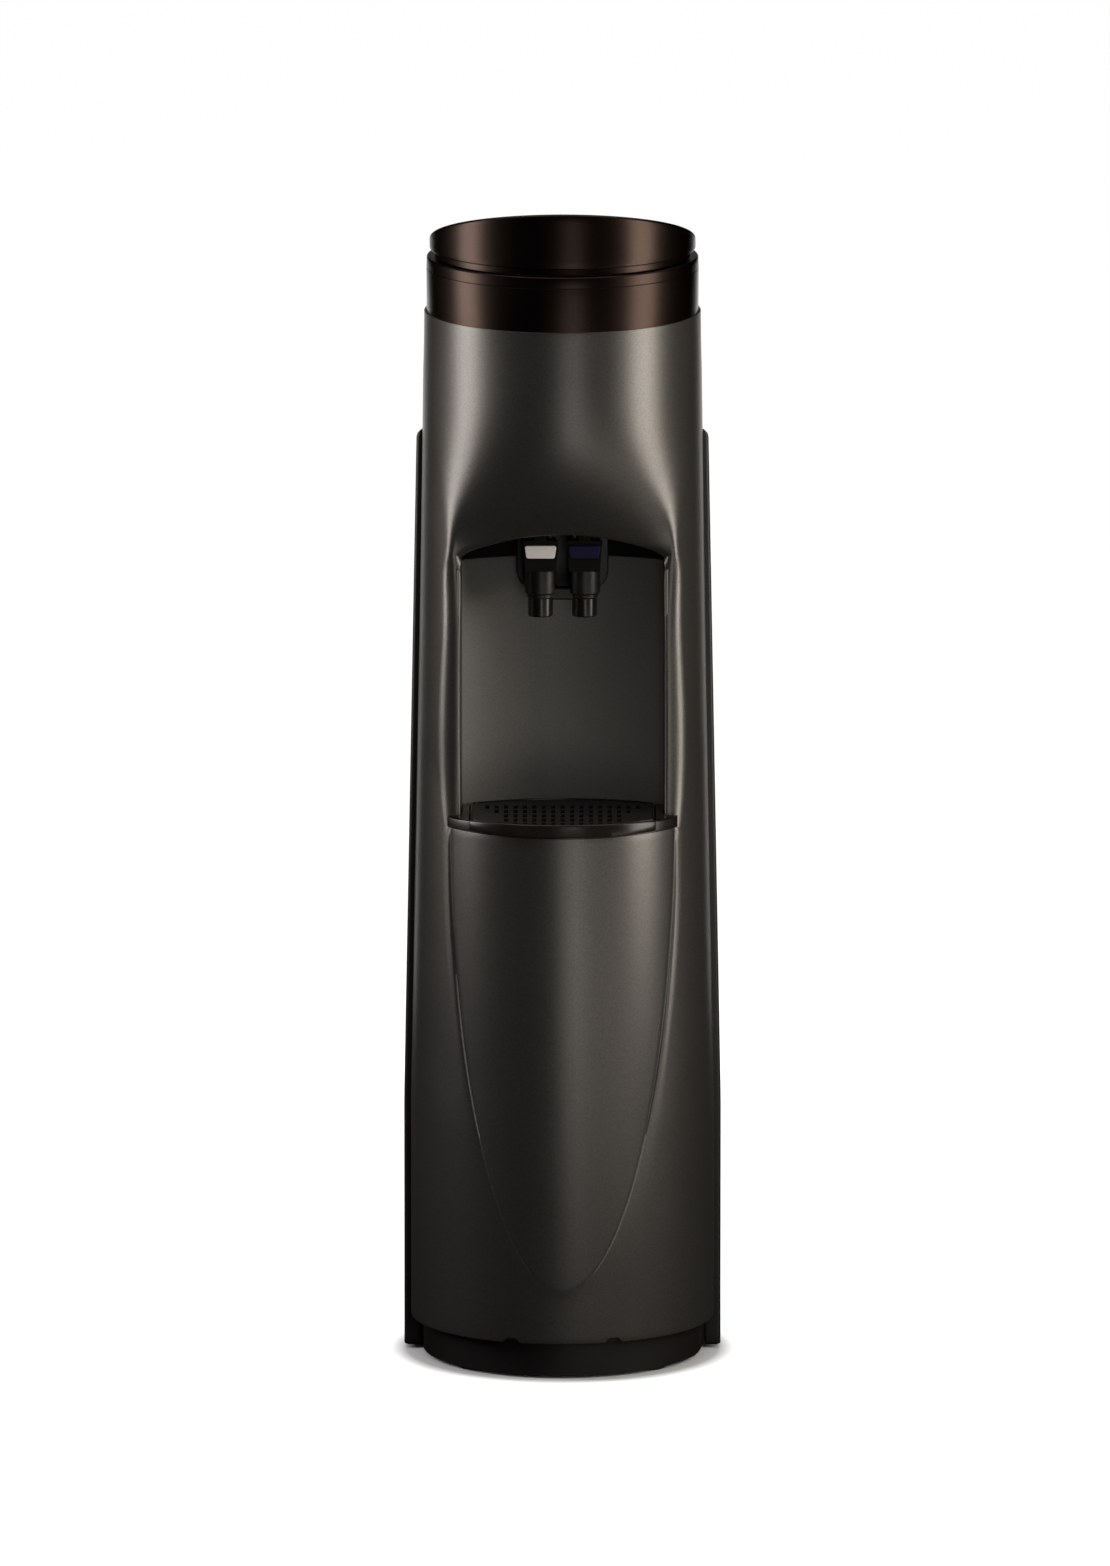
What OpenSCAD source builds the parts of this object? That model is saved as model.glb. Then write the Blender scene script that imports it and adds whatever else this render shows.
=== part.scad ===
// Point-of-use water cooler: a slim tapered tower with a hooded alcove, two push-lever taps and a
// pull-out drip tray. The front faces -Y, the origin is on the floor at the middle of the footprint.

/* [Overall] */
// Depth from the front of the tray lip to the back
overall_depth = 315; // [312:1:330]
// Width across the rear shell
overall_width = 305; // [304:1:312]

/* [Front shell] */
// Radius of the plumb lower body
body_r = 146; // [145:0.5:147.5]
// Radius of the body at the collar seam
shell_top_r = 131.5; // [131:0.5:134]
// Wall of the moulded shells
shell_wall = 3; // [2.5:0.1:3.4]
// Height of the shell's lower edge
shell_bottom_z = 37; // [30:1:44]
// Height below which the sides are plumb
plumb_z = 246; // [220:2:270]
// Height of the seam under the collar
seam_z = 1019; // [1010:1:1040]
// Widest half width of the tongue panel
tongue_half_w = 109; // [104:1:110]
// Distance that the tongue panel stands proud of the body's front
tongue_proud = 0.5; // [0:0.1:1]
// Height of the tongue panel's tip
tongue_tip_z = 87; // [70:1:110]

/* [Hood and alcove] */
// Radius of the hood's inward sweep
hood_r = 413; // [400:1:440]
// Height of the lip at its middle
lip_z = 815; // [812:1:820]
// Radius of the lip's arch
arch_r = 235; // [220:1:260]
// Half width between the ridges of the alcove
alcove_half_w = 112; // [111:0.5:114]
// Half width of the liner's back wall
liner_half_w = 95; // [93:0.5:97]
// Radius of the liner's hollow back wall
liner_r = 193; // [180:1:220]
// Distance of the liner's middle in front of the body axis
liner_forward = 8; // [5:0.5:10]
// Height of the liner's top edge
liner_top_z = 781; // [776:1:783]
// Wall of the liner and the tap panel
liner_wall = 2.5; // [2:0.1:3]

/* [Collar and lid] */
// Radius of the collar and of the tongue panel
collar_r = 130; // [129:0.5:131]
// Height of the collar
collar_h = 54; // [48:1:60]
// Height of the groove between collar and lid
groove_h = 7; // [5:0.5:9]
// Radius of the lid
lid_r = 127; // [125:0.5:128]
// Height of the lid's wall at the sides
lid_side_h = 12; // [10:0.5:16]
// Slope of the lid's top, in degrees
lid_slope = 18.3; // [15:0.1:20]

/* [Drip tray] */
// Height of the cradle's underside, on the shell's edge
tray_seat_z = 529; // [500:1:540]
// Thickness of the cradle's plate
cradle_t = 2.5; // [2:0.1:3]
// Height of the tray
tray_h = 12.5; // [11:0.5:16]
// Half width of the tray between the ears
tray_half_w = 88.6; // [84:0.2:90]
// Distance that the tray lip stands proud of the tongue panel
lip_overhang = 3.5; // [2:0.5:5]
// Wall of the tray
tray_wall = 2.5; // [2:0.1:3]
// Width of a grille slot
slot_w = 4; // [3:0.5:5]
// Length of a grille slot
slot_l = 16.8; // [12:0.2:17]

/* [Taps] */
// Distance of each tap from the middle
tap_x = 21; // [20:0.5:23]
// Distance of the tap barrels in front of the body axis
tap_forward = 56; // [54:0.5:58]
// Height of the nozzle mouths
nozzle_z = 730; // [722:1:734]
// Radius of the tap barrels
barrel_r = 15; // [14:0.5:16]
// Radius of the nozzles
nozzle_r = 12; // [11:0.5:13]
// Radius of the valve stems
stem_r = 3; // [2.5:0.1:3.5]
// Radius of the lever pins
pin_r = 2; // [1.6:0.1:2.4]
// Width of a paddle at its top
paddle_w = 33; // [30:0.5:35]

/* [Cold tank] */
// Outer radius of the tank
tank_r = 76; // [70:1:76]
// Wall of the tank
tank_wall = 1; // [0.8:0.1:1.5]
// Outer radius of the insulation
insulation_r = 92; // [88:0.5:92]
// Outer radius of the inlet tube
inlet_r = 3.175; // [3:0.005:3.2]

/* [Frame and cooling] */
// Half width between the frame uprights
upright_x = 100; // [98:0.5:102]
// Width of an upright
upright_w = 14; // [10:0.5:16]
// Radius of the compressor's shell
compressor_r = 62; // [55:1:66]
// Height of the compressor's shell
compressor_h = 150; // [130:1:170]
// Radius of the condenser's tube
condenser_r = 2.4; // [2:0.1:3]
// Number of the condenser's level runs
condenser_runs = 12; // [8:1:12]
// Radius of the condenser's wires
wire_r = 0.8; // [0.6:0.1:1]

/* [Hidden] */
$fn = 96;
clear = 0.3;
running = 0.05;
over = 1;
front_y = -overall_depth / 2;
back_y = overall_depth / 2;
collar_y = front_y + lip_overhang + collar_r;
collar_forward = body_r + tongue_proud - collar_r;
body_y = collar_y + collar_forward;
split_back = 2.5;
split_y = body_y + split_back;

// Rear shell
rear_plumb_half_w = overall_width / 2;
rear_taper = 12.8;
rear_top_half_w = rear_plumb_half_w - rear_taper;
rear_bottom_z = 4;
rear_drop = 117;
rear_top_z = seam_z - rear_drop;
rear_corner_r = 24;
rear_frame_w = 40.5;
rear_window_half_w = rear_plumb_half_w - rear_frame_w;
rear_window_low_z = 48;
rear_frame_h = 37;
rear_window_top_z = rear_top_z - rear_frame_h;
rear_lip = 14;
rear_front_y = split_y + clear;
ledge_w = 21;
ledge_r = body_r - ledge_w;

// Plinth
foot_h = 3;
foot_r = 18;
foot_x = 80;
toe_inset = 12;
plinth_r = body_r - toe_inset;
plinth_rear_inset = 18.5;
plinth_rear_half_w = rear_plumb_half_w - plinth_rear_inset;
plinth_wall = 4;
plinth_wide_y = rear_front_y + shell_wall + clear;
plinth_top_z = shell_bottom_z + shell_wall;
flange_t = 3;
plinth_back_y = back_y - shell_wall - clear;

// Hood
tongue_front_y = collar_y - collar_r;
tongue_rise = 31;
tongue_middle_z = tray_seat_z + tongue_rise;
hood_plumb_h = 9;
hood_start_z = seam_z - hood_plumb_h;
liner_lap = 3;
hood_low_z = liner_top_z - liner_lap;
hood_inset = 2;
alcove_low_z = tray_seat_z;
liner_axis_y = body_y - liner_forward - liner_r;
liner_edge_y = liner_axis_y + sqrt(liner_r * liner_r - liner_half_w * liner_half_w);
ridge_forward = 79;
ridge_y = body_y - ridge_forward;
panel_setback = 6;
ceiling_rise = 15;
ceiling_z = lip_z + ceiling_rise;
ceiling_t = 3;
ceiling_half_w = 84;
ceiling_back = 52;
ceiling_front_y = tongue_front_y + ceiling_back;

// Collar and lid
collar_top_z = seam_z + collar_h;
lid_z = collar_top_z + groove_h;
neck_inset = 5;
neck_r = lid_r - neck_inset;
neck_wall = 6;
flange_w = 20;
flange_hole_r = collar_r - flange_w;
lid_wall = 3;
lid_side_z = lid_z + lid_side_h;
lid_rear_h = 6;
lid_bend_drop = 4;
lid_bend_r = lid_bend_drop / (1 - cos(lid_slope));
lid_flat_z = lid_z + lid_rear_h;
lid_bend_y = collar_y + (lid_flat_z + lid_bend_drop - lid_side_z) / -tan(lid_slope);
lid_bend_axis_y = lid_bend_y + lid_bend_r * sin(lid_slope);

// Tray
tray_z = tray_seat_z + cradle_t;
tray_top_z = tray_z + tray_h;
ear_gap = 0.4;
tray_r = collar_r + lip_overhang;
tray_ledge = 3;
grille_t = 2.5;
grille_drop = 1;
grille_z = tray_top_z - grille_drop - grille_t;
slot_pitch = 9;
slot_rows = 5;
slot_gap = 5;
slot_margin = 12;
slot_taper = 6;

// Taps
tap_y = body_y - tap_forward;
plate_half_w = 44;
plate_rise = 18;
plate_low_z = nozzle_z + plate_rise;
plate_lap = 7;
plate_top_z = lip_z + plate_lap;
plate_t = 8;
plate_corner_r = 20;
liner_face_r = liner_r - liner_wall;
plate_back_y = liner_axis_y + sqrt(liner_face_r * liner_face_r - plate_half_w * plate_half_w) - clear;
nozzle_h = 22;
barrel_low_z = nozzle_z + nozzle_h;
seat_h = 8;
seat_z = barrel_low_z + seat_h;
barrel_h = 48;
barrel_top_z = barrel_low_z + barrel_h;
barrel_wall = 4;
chamber_r = barrel_r - barrel_wall;
outlet_r = 5;
shank_r = 6.5;
shank_bore_r = 4;
shank_drop = 8;
shank_z = barrel_top_z - shank_drop;
bridge_h = 12;
bonnet_t = 5;
pivot_forward = 14;
pivot_y = tap_y - pivot_forward;
pivot_rise = 11;
pivot_z = barrel_top_z + pivot_rise;
ear_in = 8;
ear_out = 11;
hub_r = 5;
prong_r = 2.5;
prong_in = 4.2;
prong_out = 7.2;
stem_head_r = 7.5;
stem_head_t = 3;
fork_gap = 0.4;
stem_head_z = pivot_z + prong_r + fork_gap;
cup_h = 8;
spring_r_in = 4.5;
spring_r_out = 6.5;
paddle_forward = 12;
paddle_back_y = pivot_y - paddle_forward;
carrier_t = 4;
carrier_edge = 0.6;
carrier_drop = 33;
carrier_low_z = pivot_z - carrier_drop;
carrier_gap = 3;
carrier_top_z = pivot_z - carrier_gap;
paddle_drop = 20;
paddle_low_z = pivot_z - paddle_drop;
paddle_t = 2;
paddle_taper = 2.5;
nut_r = 12;
nut_t = 6;
gasket_r = 12;

// Tank
deck_t = 3;
deck_z = seam_z + flange_t;
rim_t = 1;
rim_w = 8;
rim_r = tank_r + rim_w;
tank_top_z = deck_z + deck_t;
tank_foam_h = 19;
tank_lid_t = 3;
tank_lid_z = tank_top_z + rim_t;
band_t = 1.5;
insulation_t = insulation_r - tank_r - band_t - 2 * clear;
shelf_t = 3;
shelf_gap = 10;
shelf_z = ceiling_z + ceiling_t + shelf_gap;
insulation_z = shelf_z + shelf_t;
tank_z = insulation_z + tank_foam_h;
tank_h = tank_top_z - tank_z;
foam_gap = 1;
insulation_top_z = seam_z - shell_wall - foam_gap;
baffle_depth = 65;
baffle_z = tank_top_z - baffle_depth;
baffle_t = 2;
baffle_pipe_r = 7;
hose_r = 5;
hose_bore_r = 3.5;
bend_ratio = 3;
hose_gap = 3;
hose_back = 52.5;
hose_y = collar_y + hose_back;
shank_back_y = hose_y - bend_ratio * hose_r - hose_gap;
inlet_x = 40;
inlet_bend_r = 10;
inlet_y = collar_y + sqrt(pow(insulation_r + inlet_r + 2 * clear, 2) - inlet_x * inlet_x);
valve_back = 48;
valve_y = collar_y + valve_back;
valve_r = 9;
valve_h = 18;
float_drop = 14;
float_pivot_z = tank_lid_z - float_drop;
float_gap = 5;
float_pivot_x = inlet_x - valve_r - float_gap;
float_pin_r = 1.5;
float_hub = 4;
float_x = -20;
float_r = 16;
float_h = 24;
float_hang = 6;
float_top_z = float_pivot_z - float_hang;
inlet_rise = 12;
inlet_top_z = tank_lid_z + tank_lid_t + inlet_rise;

// Frame and cooling
upright_back = 52;
upright_y = body_y + upright_back;
upright_t = 10;
pan_z = foot_h + plinth_wall;
grommet_r = 11;
grommet_h = 12;
grommet_neck_r = 4;
compressor_plate_t = 3;
compressor_z = pan_z + grommet_h;
compressor_foot = 48;
relay_w = 44;
pipe_r = 3.5;
suction_forward = 10;
suction_y = upright_y - suction_forward;
panel_inset = 26;
panel_y = back_y - panel_inset;
compressor_gap = 19;
compressor_y = panel_y - compressor_gap - compressor_r;
panel_t = 1.5;
panel_half_w = 118;
panel_step = 2;
panel_top_z = 262;
boss_w = 16;
boss_h = 20;
condenser_inset = 15;
condenser_y = back_y - condenser_inset;
condenser_rise = 24;
condenser_low_z = panel_top_z + condenser_rise;
condenser_pitch = 48;
condenser_end_z = condenser_low_z + (condenser_runs - 1) * condenser_pitch;
wire_gap = 0.1;
wire_pitch = 10;
wire_reach = 12;
wire_y = condenser_r + wire_r + wire_gap;
bracket_w = 16;
bracket_t = 1.5;
bracket_margin = 1.8;
bracket_x = rear_plumb_half_w - rear_corner_r - bracket_margin - bracket_w / 2;
condenser_half_w = bracket_x - clear - condenser_r - condenser_pitch / 2;
bracket_z = [condenser_low_z + condenser_pitch / 2, condenser_end_z - condenser_pitch / 2];
drier_r = 9;
drier_h = 90;
drier_z = 330;
knob_x = -84;
knob_z = 190;
knob_r = 13;
knob_h = 12;
knob_shaft_r = 3;
knob_shaft_l = 9;
thermostat_w = 40;
switch_x = -84;
switch_z = 120;
switch_w = 22;
switch_h = 30;
switch_lip = 2;
bezel_t = 3;
rocker_side = 4;
rocker_window_w = switch_w - 2 * rocker_side;
rocker_end = 3;
rocker_window_h = switch_h - 2 * rocker_end;
rocker_tilt = 7;
gland_x = -84;
gland_z = 75;
gland_r = 9;
gland_bore_r = 3.8;
gland_h = 16;
fitting_x = 84;
fitting_z = 110;
crossing_z = panel_top_z - 2;
fitting_r = 9;
fitting_bore_r = 3.3;
fitting_depth = 16;
screw_r = 3.5;
screw_shank_r = 1.9;
screw_l = 10;
screw_head_t = 2.2;

shell_grey = [0.30, 0.30, 0.29];
gloss_black = [0.09, 0.07, 0.06];
satin_black = [0.07, 0.06, 0.06];
steel = [0.72, 0.73, 0.74];
copper = [0.72, 0.43, 0.27];
rubber_black = [0.05, 0.05, 0.05];
foam_white = [0.90, 0.90, 0.86];
tube_clear = [0.85, 0.88, 0.88];
paddle_white = [0.93, 0.93, 0.90];
paddle_blue = [0.16, 0.15, 0.45];

// A round bar between two points
module rod(a, b, r) {
  d = b - a;
  len = norm(d);
  translate(a)
    rotate([0, acos(d[2] / len), atan2(d[1], d[0])])
      cylinder(r = r, h = len);
}

// A quarter bend of a pipe at the corner p, from direction u to direction v
module bend(p, u, v, r, bend_r) {
  w = cross(-v, u);
  c = p + bend_r * (v - u);
  multmatrix([
    [-v[0], u[0], w[0], c[0]],
    [-v[1], u[1], w[1], c[1]],
    [-v[2], u[2], w[2], c[2]],
    [0, 0, 0, 1]
  ])
    rotate_extrude(angle = 90)
      translate([bend_r, 0])
        circle(r = r);
}

// A pipe of straight legs with quarter bends, along a list of points
module pipe(points, r, bend_r) {
  last = len(points) - 1;
  way = [for (i = [0 : last - 1]) (points[i + 1] - points[i]) / norm(points[i + 1] - points[i])];
  for (i = [0 : last - 1])
    rod(
      points[i] + (i > 0 ? bend_r : 0) * way[i],
      points[i + 1] - (i < last - 1 ? bend_r : 0) * way[i],
      r
    );
  for (i = [1 : 1 : last - 1])
    bend(points[i], way[i - 1], way[i], r, bend_r);
}

// A cylinder along +Y from the given point
module y_cylinder(p, r, h) {
  translate(p)
    rotate([-90, 0, 0])
      cylinder(r = r, h = h);
}

// A cylinder along X, centred on the given point
module x_cylinder(p, r, h) {
  translate(p)
    rotate([0, 90, 0])
      cylinder(r = r, h = h, center = true);
}

// A box between two corners
module box(low, high) {
  translate(low)
    cube(high - low);
}

// The tapered body: a plumb drum below, a cone above, both grown by the given distance
module body_form(grow, low_z) {
  translate([0, body_y, low_z])
    cylinder(r = body_r + grow, h = plumb_z - low_z);
  translate([0, body_y, plumb_z])
    cylinder(r1 = body_r + grow, r2 = shell_top_r + grow, h = seam_z - plumb_z);
}

// The plumb drum that the collar stands on, which also makes the tongue panel
module tongue_form(grow, low_z) {
  translate([0, collar_y, low_z])
    cylinder(r = collar_r + grow, h = seam_z - low_z);
}

// The tongue panel's outline, half an ellipse, cut through the front
module tongue_window(grow) {
  half_w = tongue_half_w + grow;
  drop = tongue_middle_z - tongue_tip_z + grow;
  steps = 40;
  outline = [
    for (i = [0 : steps])
      let (a = 180 + 180 * i / steps)
        [half_w * cos(a), tongue_middle_z + drop * sin(a)]
  ];
  translate([0, split_y + over, 0])
    rotate([90, 0, 0])
      linear_extrude(overall_depth)
        polygon(outline);
}

// The space in front of the hood's inward sweep
module hood_cut(grow) {
  half_w = alcove_half_w - hood_inset + grow;
  difference() {
    box([-half_w, front_y - over, hood_low_z], [half_w, body_y, hood_start_z]);
    x_cylinder([0, tongue_front_y + hood_r, hood_start_z], hood_r - grow, overall_width);
  }
}

// The body's outer or inner form, grown by the given distance
module shell_form(grow, low_z) {
  inset = -grow;
  intersection() {
    box([-overall_width, front_y - over, low_z], [overall_width, back_y, tray_seat_z]);
    union() {
      difference() {
        body_form(grow, low_z);
        tongue_window(inset);
      }
      intersection() {
        tongue_form(grow, low_z);
        tongue_window(inset);
      }
    }
  }
  intersection() {
    box([-overall_width, front_y - over, tray_seat_z], [overall_width, back_y, seam_z]);
    difference() {
      union() {
        body_form(grow, low_z);
        tongue_form(grow, low_z);
      }
      hood_cut(inset);
    }
  }
}

// The front opening of the alcove, with its arched lip
module alcove_cut() {
  intersection() {
    box([-alcove_half_w, front_y - over, alcove_low_z], [alcove_half_w, split_y + over, lip_z + over]);
    y_cylinder([0, front_y - over, lip_z - arch_r], arch_r, overall_depth);
  }
}

module front_shell() {
  notch_x = 48;
  notch_w = 11;
  notch_h = 4;
  color(shell_grey)
    difference() {
      shell_form(0, shell_bottom_z);
      intersection() {
        shell_form(-shell_wall, shell_bottom_z - over);
        box([-overall_width, front_y, 0], [overall_width, back_y, seam_z - shell_wall]);
      }
      alcove_cut();
      box([-overall_width, split_y, 0], [overall_width, back_y, rear_top_z + clear]);
      translate([0, collar_y, seam_z - 2 * shell_wall])
        cylinder(r = flange_hole_r, h = 3 * shell_wall);
      for (side = [-1, 1])
        translate([side * notch_x - notch_w / 2, front_y, shell_bottom_z - over])
          cube([notch_w, collar_r, notch_h + over]);
    }
}

// The alcove in plan: ridges, slanted returns and hollow back, grown by the given distance
module alcove_plan(grow) {
  w = alcove_half_w - clear + grow;
  b = liner_half_w + grow;
  intersection() {
    polygon([
      [-w, front_y], [w, front_y], [w, ridge_y], [b, liner_edge_y],
      [b, body_y], [-b, body_y], [-b, liner_edge_y], [-w, ridge_y]
    ]);
    translate([0, liner_axis_y])
      circle(r = liner_r + grow, $fn = 192);
  }
}

// The bent sheet that lines the alcove, between two heights and behind the given front edge
module alcove_sheet(low_z, high_z, edge_y) {
  difference() {
    translate([0, 0, low_z])
      linear_extrude(high_z - low_z)
        difference() {
          alcove_plan(0);
          alcove_plan(-liner_wall);
        }
    box([-overall_width, front_y - over, 0], [overall_width, edge_y, seam_z]);
  }
}

module alcove_liner() {
  color(shell_grey)
    alcove_sheet(tray_z, liner_top_z, ridge_y);
}

module tap_panel() {
  color(satin_black)
    difference() {
      union() {
        alcove_sheet(liner_top_z, ceiling_z, ridge_y + panel_setback);
        translate([0, 0, ceiling_z])
          linear_extrude(ceiling_t)
            intersection() {
              alcove_plan(0);
              translate([-ceiling_half_w, ceiling_front_y])
                square([2 * ceiling_half_w, overall_depth]);
            }
      }
      for (side = [-1, 1])
        y_cylinder([side * tap_x, tap_y, shank_z], shank_r + clear, overall_depth);
    }
}

// The rear shell in the front view, inset by the given distance
module rear_outline(inset) {
  low_w = rear_plumb_half_w - inset;
  top_w = rear_top_half_w - inset;
  corner = 10;
  bow = 0.3 * corner;
  low_z = rear_bottom_z - (inset > 0 ? over : 0);
  top_z = rear_top_z - inset;
  polygon([
    [-low_w, low_z], [low_w, low_z], [low_w, plumb_z], [top_w, top_z - corner],
    [top_w - bow, top_z - bow], [top_w - corner, top_z],
    [corner - top_w, top_z], [bow - top_w, top_z - bow],
    [-top_w, top_z - corner], [-low_w, plumb_z]
  ]);
}

// The rear shell's open front, between its two returns
module rear_mouth() {
  low_w = rear_plumb_half_w - rear_lip;
  top_w = rear_top_half_w - rear_lip;
  top_z = rear_top_z - shell_wall;
  polygon([
    [-low_w, 0], [low_w, 0], [low_w, plumb_z],
    [top_w, top_z], [-top_w, top_z], [-low_w, plumb_z]
  ]);
}

// The rear shell's block, inset by the given distance, round at its rear corners
module rear_block(inset) {
  r = rear_corner_r - inset;
  half_w = rear_plumb_half_w - inset;
  y0 = rear_front_y + inset;
  y1 = back_y - inset;
  intersection() {
    translate([0, back_y + over, 0])
      rotate([90, 0, 0])
        linear_extrude(2 * overall_depth)
          rear_outline(inset);
    union() {
      box([-half_w, y0, 0], [half_w, y1 - r, seam_z]);
      box([r - half_w, y0, 0], [half_w - r, y1, seam_z]);
      for (side = [-1, 1])
        translate([side * (half_w - r), y1 - r, 0])
          cylinder(r = r, h = seam_z);
    }
  }
}

module rear_shell() {
  color(satin_black)
    difference() {
      rear_block(0);
      rear_block(shell_wall);
      translate([0, rear_front_y + 2 * shell_wall, 0])
        rotate([90, 0, 0])
          linear_extrude(4 * shell_wall)
            rear_mouth();
      box(
        [-rear_window_half_w, back_y - 2 * shell_wall, rear_window_low_z],
        [rear_window_half_w, back_y + over, rear_window_top_z]
      );
      translate([0, body_y, rear_top_z - 2 * shell_wall])
        cylinder(r = ledge_r, h = 4 * shell_wall);
    }
}

// The plinth in plan: a round front, a waist between the rear shell's returns and a square rear
module plinth_plan(r, half_w, rear_y) {
  waist_half_w = min(r, rear_plumb_half_w - rear_lip - clear);
  intersection() {
    translate([0, body_y])
      circle(r = r);
    translate([-r, front_y])
      square([2 * r, split_y - front_y]);
  }
  translate([-waist_half_w, body_y])
    square([2 * waist_half_w, plinth_wide_y - body_y + over]);
  translate([-half_w, plinth_wide_y])
    square([2 * half_w, rear_y - plinth_wide_y]);
}

module base_plinth() {
  rear_half_w = rear_plumb_half_w - shell_wall - clear;
  rim_y = plinth_back_y - rear_corner_r;
  pan_half_w = plinth_rear_half_w - plinth_wall;
  color(satin_black)
    difference() {
      union() {
        translate([0, 0, foot_h])
          linear_extrude(plinth_top_z - foot_h)
            plinth_plan(plinth_r, plinth_rear_half_w, rim_y);
        translate([0, 0, plinth_top_z - flange_t])
          linear_extrude(flange_t)
            plinth_plan(body_r - shell_wall - clear, rear_half_w, rim_y);
        box(
          [-rear_half_w, plinth_wide_y, foot_h],
          [rear_half_w, plinth_wide_y + plinth_wall, plinth_top_z]
        );
        box(
          [-panel_half_w, rim_y - over, plinth_top_z - flange_t],
          [panel_half_w, plinth_back_y, plinth_top_z]
        );
        for (side = [-1, 1])
          translate([side * upright_x - boss_w / 2, panel_y - boss_w, plinth_top_z - flange_t])
            cube([boss_w, boss_w, boss_h + flange_t]);
      }
      translate([0, 0, pan_z])
        linear_extrude(plinth_top_z)
          intersection() {
            plinth_plan(plinth_r - plinth_wall, pan_half_w, rim_y - plinth_wall);
            translate([-pan_half_w, front_y])
              square([2 * pan_half_w, panel_y - boss_w - clear - front_y]);
          }
      for (side = [-1, 1])
        y_cylinder(
          [side * upright_x, panel_y - screw_l - over, plinth_top_z + boss_h / 2],
          screw_shank_r + running, boss_w
        );
    }
}

module foot_pads() {
  color(rubber_black)
    for (x = [-foot_x, foot_x], y = [body_y - foot_x, body_y + foot_x])
      translate([x, y, 0])
        cylinder(r = foot_r, h = foot_h);
}

module top_collar() {
  color(gloss_black)
    translate([0, collar_y, 0])
      difference() {
        union() {
          translate([0, 0, seam_z])
            cylinder(r = collar_r, h = collar_h);
          translate([0, 0, collar_top_z])
            cylinder(r = neck_r, h = groove_h);
        }
        translate([0, 0, seam_z + flange_t])
          cylinder(r = neck_r - neck_wall, h = collar_h + groove_h);
        translate([0, 0, seam_z + flange_t])
          cylinder(r = collar_r - shell_wall, h = collar_h - flange_t - shell_wall);
        translate([0, 0, seam_z - over])
          cylinder(r = flange_hole_r, h = collar_h);
      }
}

// Everything above the lid's sloping, then level top, lowered by the given distance
module above_lid(drop) {
  reach = 2 * lid_r;
  axis_z = lid_flat_z + lid_bend_r - drop;
  x_cylinder([0, lid_bend_axis_y, axis_z], lid_bend_r, 2 * reach);
  box([-reach, lid_bend_axis_y, lid_flat_z - drop], [reach, lid_bend_axis_y + reach, lid_flat_z + reach]);
  translate([0, lid_bend_y, lid_flat_z + lid_bend_drop - drop])
    rotate([-lid_slope, 0, 0])
      box([-reach, -reach, 0], [reach, 0, reach]);
  box([-reach, lid_bend_y, lid_flat_z + lid_bend_drop], [reach, lid_bend_axis_y, lid_flat_z + reach]);
}

module lid() {
  rim_in = neck_r - neck_wall;
  crest_h = lid_side_z + lid_r;
  color(gloss_black)
    difference() {
      translate([0, collar_y, lid_z])
        cylinder(r = lid_r, h = crest_h - lid_z);
      above_lid(0);
      translate([0, collar_y, lid_z - over])
        cylinder(r = rim_in, h = lid_wall + over + clear);
      difference() {
        translate([0, collar_y, lid_z + lid_wall])
          cylinder(r = lid_r - lid_wall, h = crest_h - lid_z);
        above_lid(lid_wall);
      }
    }
}

module tray_cradle() {
  color(satin_black)
    difference() {
      translate([0, 0, tray_seat_z])
        linear_extrude(cradle_t + tray_h)
          intersection() {
            alcove_plan(0);
            translate([0, collar_y])
              circle(r = collar_r);
          }
      translate([0, 0, tray_z])
        linear_extrude(tray_h + over)
          intersection() {
            translate([-tray_half_w - ear_gap, front_y - over])
              square([2 * (tray_half_w + ear_gap), overall_depth]);
            translate([0, collar_y])
              circle(r = tray_r + over);
          }
      translate([0, 0, tray_z])
        linear_extrude(tray_h + over)
          difference() {
            alcove_plan(over);
            alcove_plan(-liner_wall - clear);
          }
    }
}

// The tray in plan, inset by the given distance
module tray_plan(inset) {
  intersection() {
    alcove_plan(-liner_wall - 2 * clear - inset);
    translate([-tray_half_w + inset, front_y - over])
      square([2 * (tray_half_w - inset), overall_depth]);
    translate([0, collar_y])
      circle(r = tray_r - inset);
  }
}

module drip_tray() {
  color(gloss_black)
    difference() {
      translate([0, 0, tray_z])
        linear_extrude(tray_h)
          tray_plan(0);
      translate([0, 0, tray_z + tray_wall])
        linear_extrude(tray_h)
          tray_plan(tray_wall + tray_ledge);
      translate([0, 0, grille_z])
        linear_extrude(tray_h)
          tray_plan(tray_wall);
    }
}

module drip_grille() {
  reach = tray_half_w - tray_wall - slot_margin;
  first_y = liner_edge_y - slot_margin;
  row_pitch = slot_l + slot_gap;
  color(satin_black)
    difference() {
      translate([0, 0, grille_z])
        linear_extrude(grille_t)
          tray_plan(tray_wall + clear);
      for (row = [0 : slot_rows - 1], i = [-floor(reach / slot_pitch) : floor(reach / slot_pitch)])
        if (abs(i) * slot_pitch < reach - slot_taper * row)
          translate([i * slot_pitch - slot_w / 2, first_y - row * row_pitch - slot_l, grille_z - over])
            cube([slot_w, slot_l, grille_t + 2 * over]);
    }
}

// The back plate of the taps, round at its lower corners
module tap_plate_outline() {
  r = plate_corner_r;
  translate([-plate_half_w, plate_low_z + r])
    square([2 * plate_half_w, plate_top_z - plate_low_z - r]);
  translate([r - plate_half_w, plate_low_z])
    square([2 * (plate_half_w - r), r + over]);
  for (side = [-1, 1])
    translate([side * (plate_half_w - r), plate_low_z + r])
      circle(r = r);
}

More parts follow.
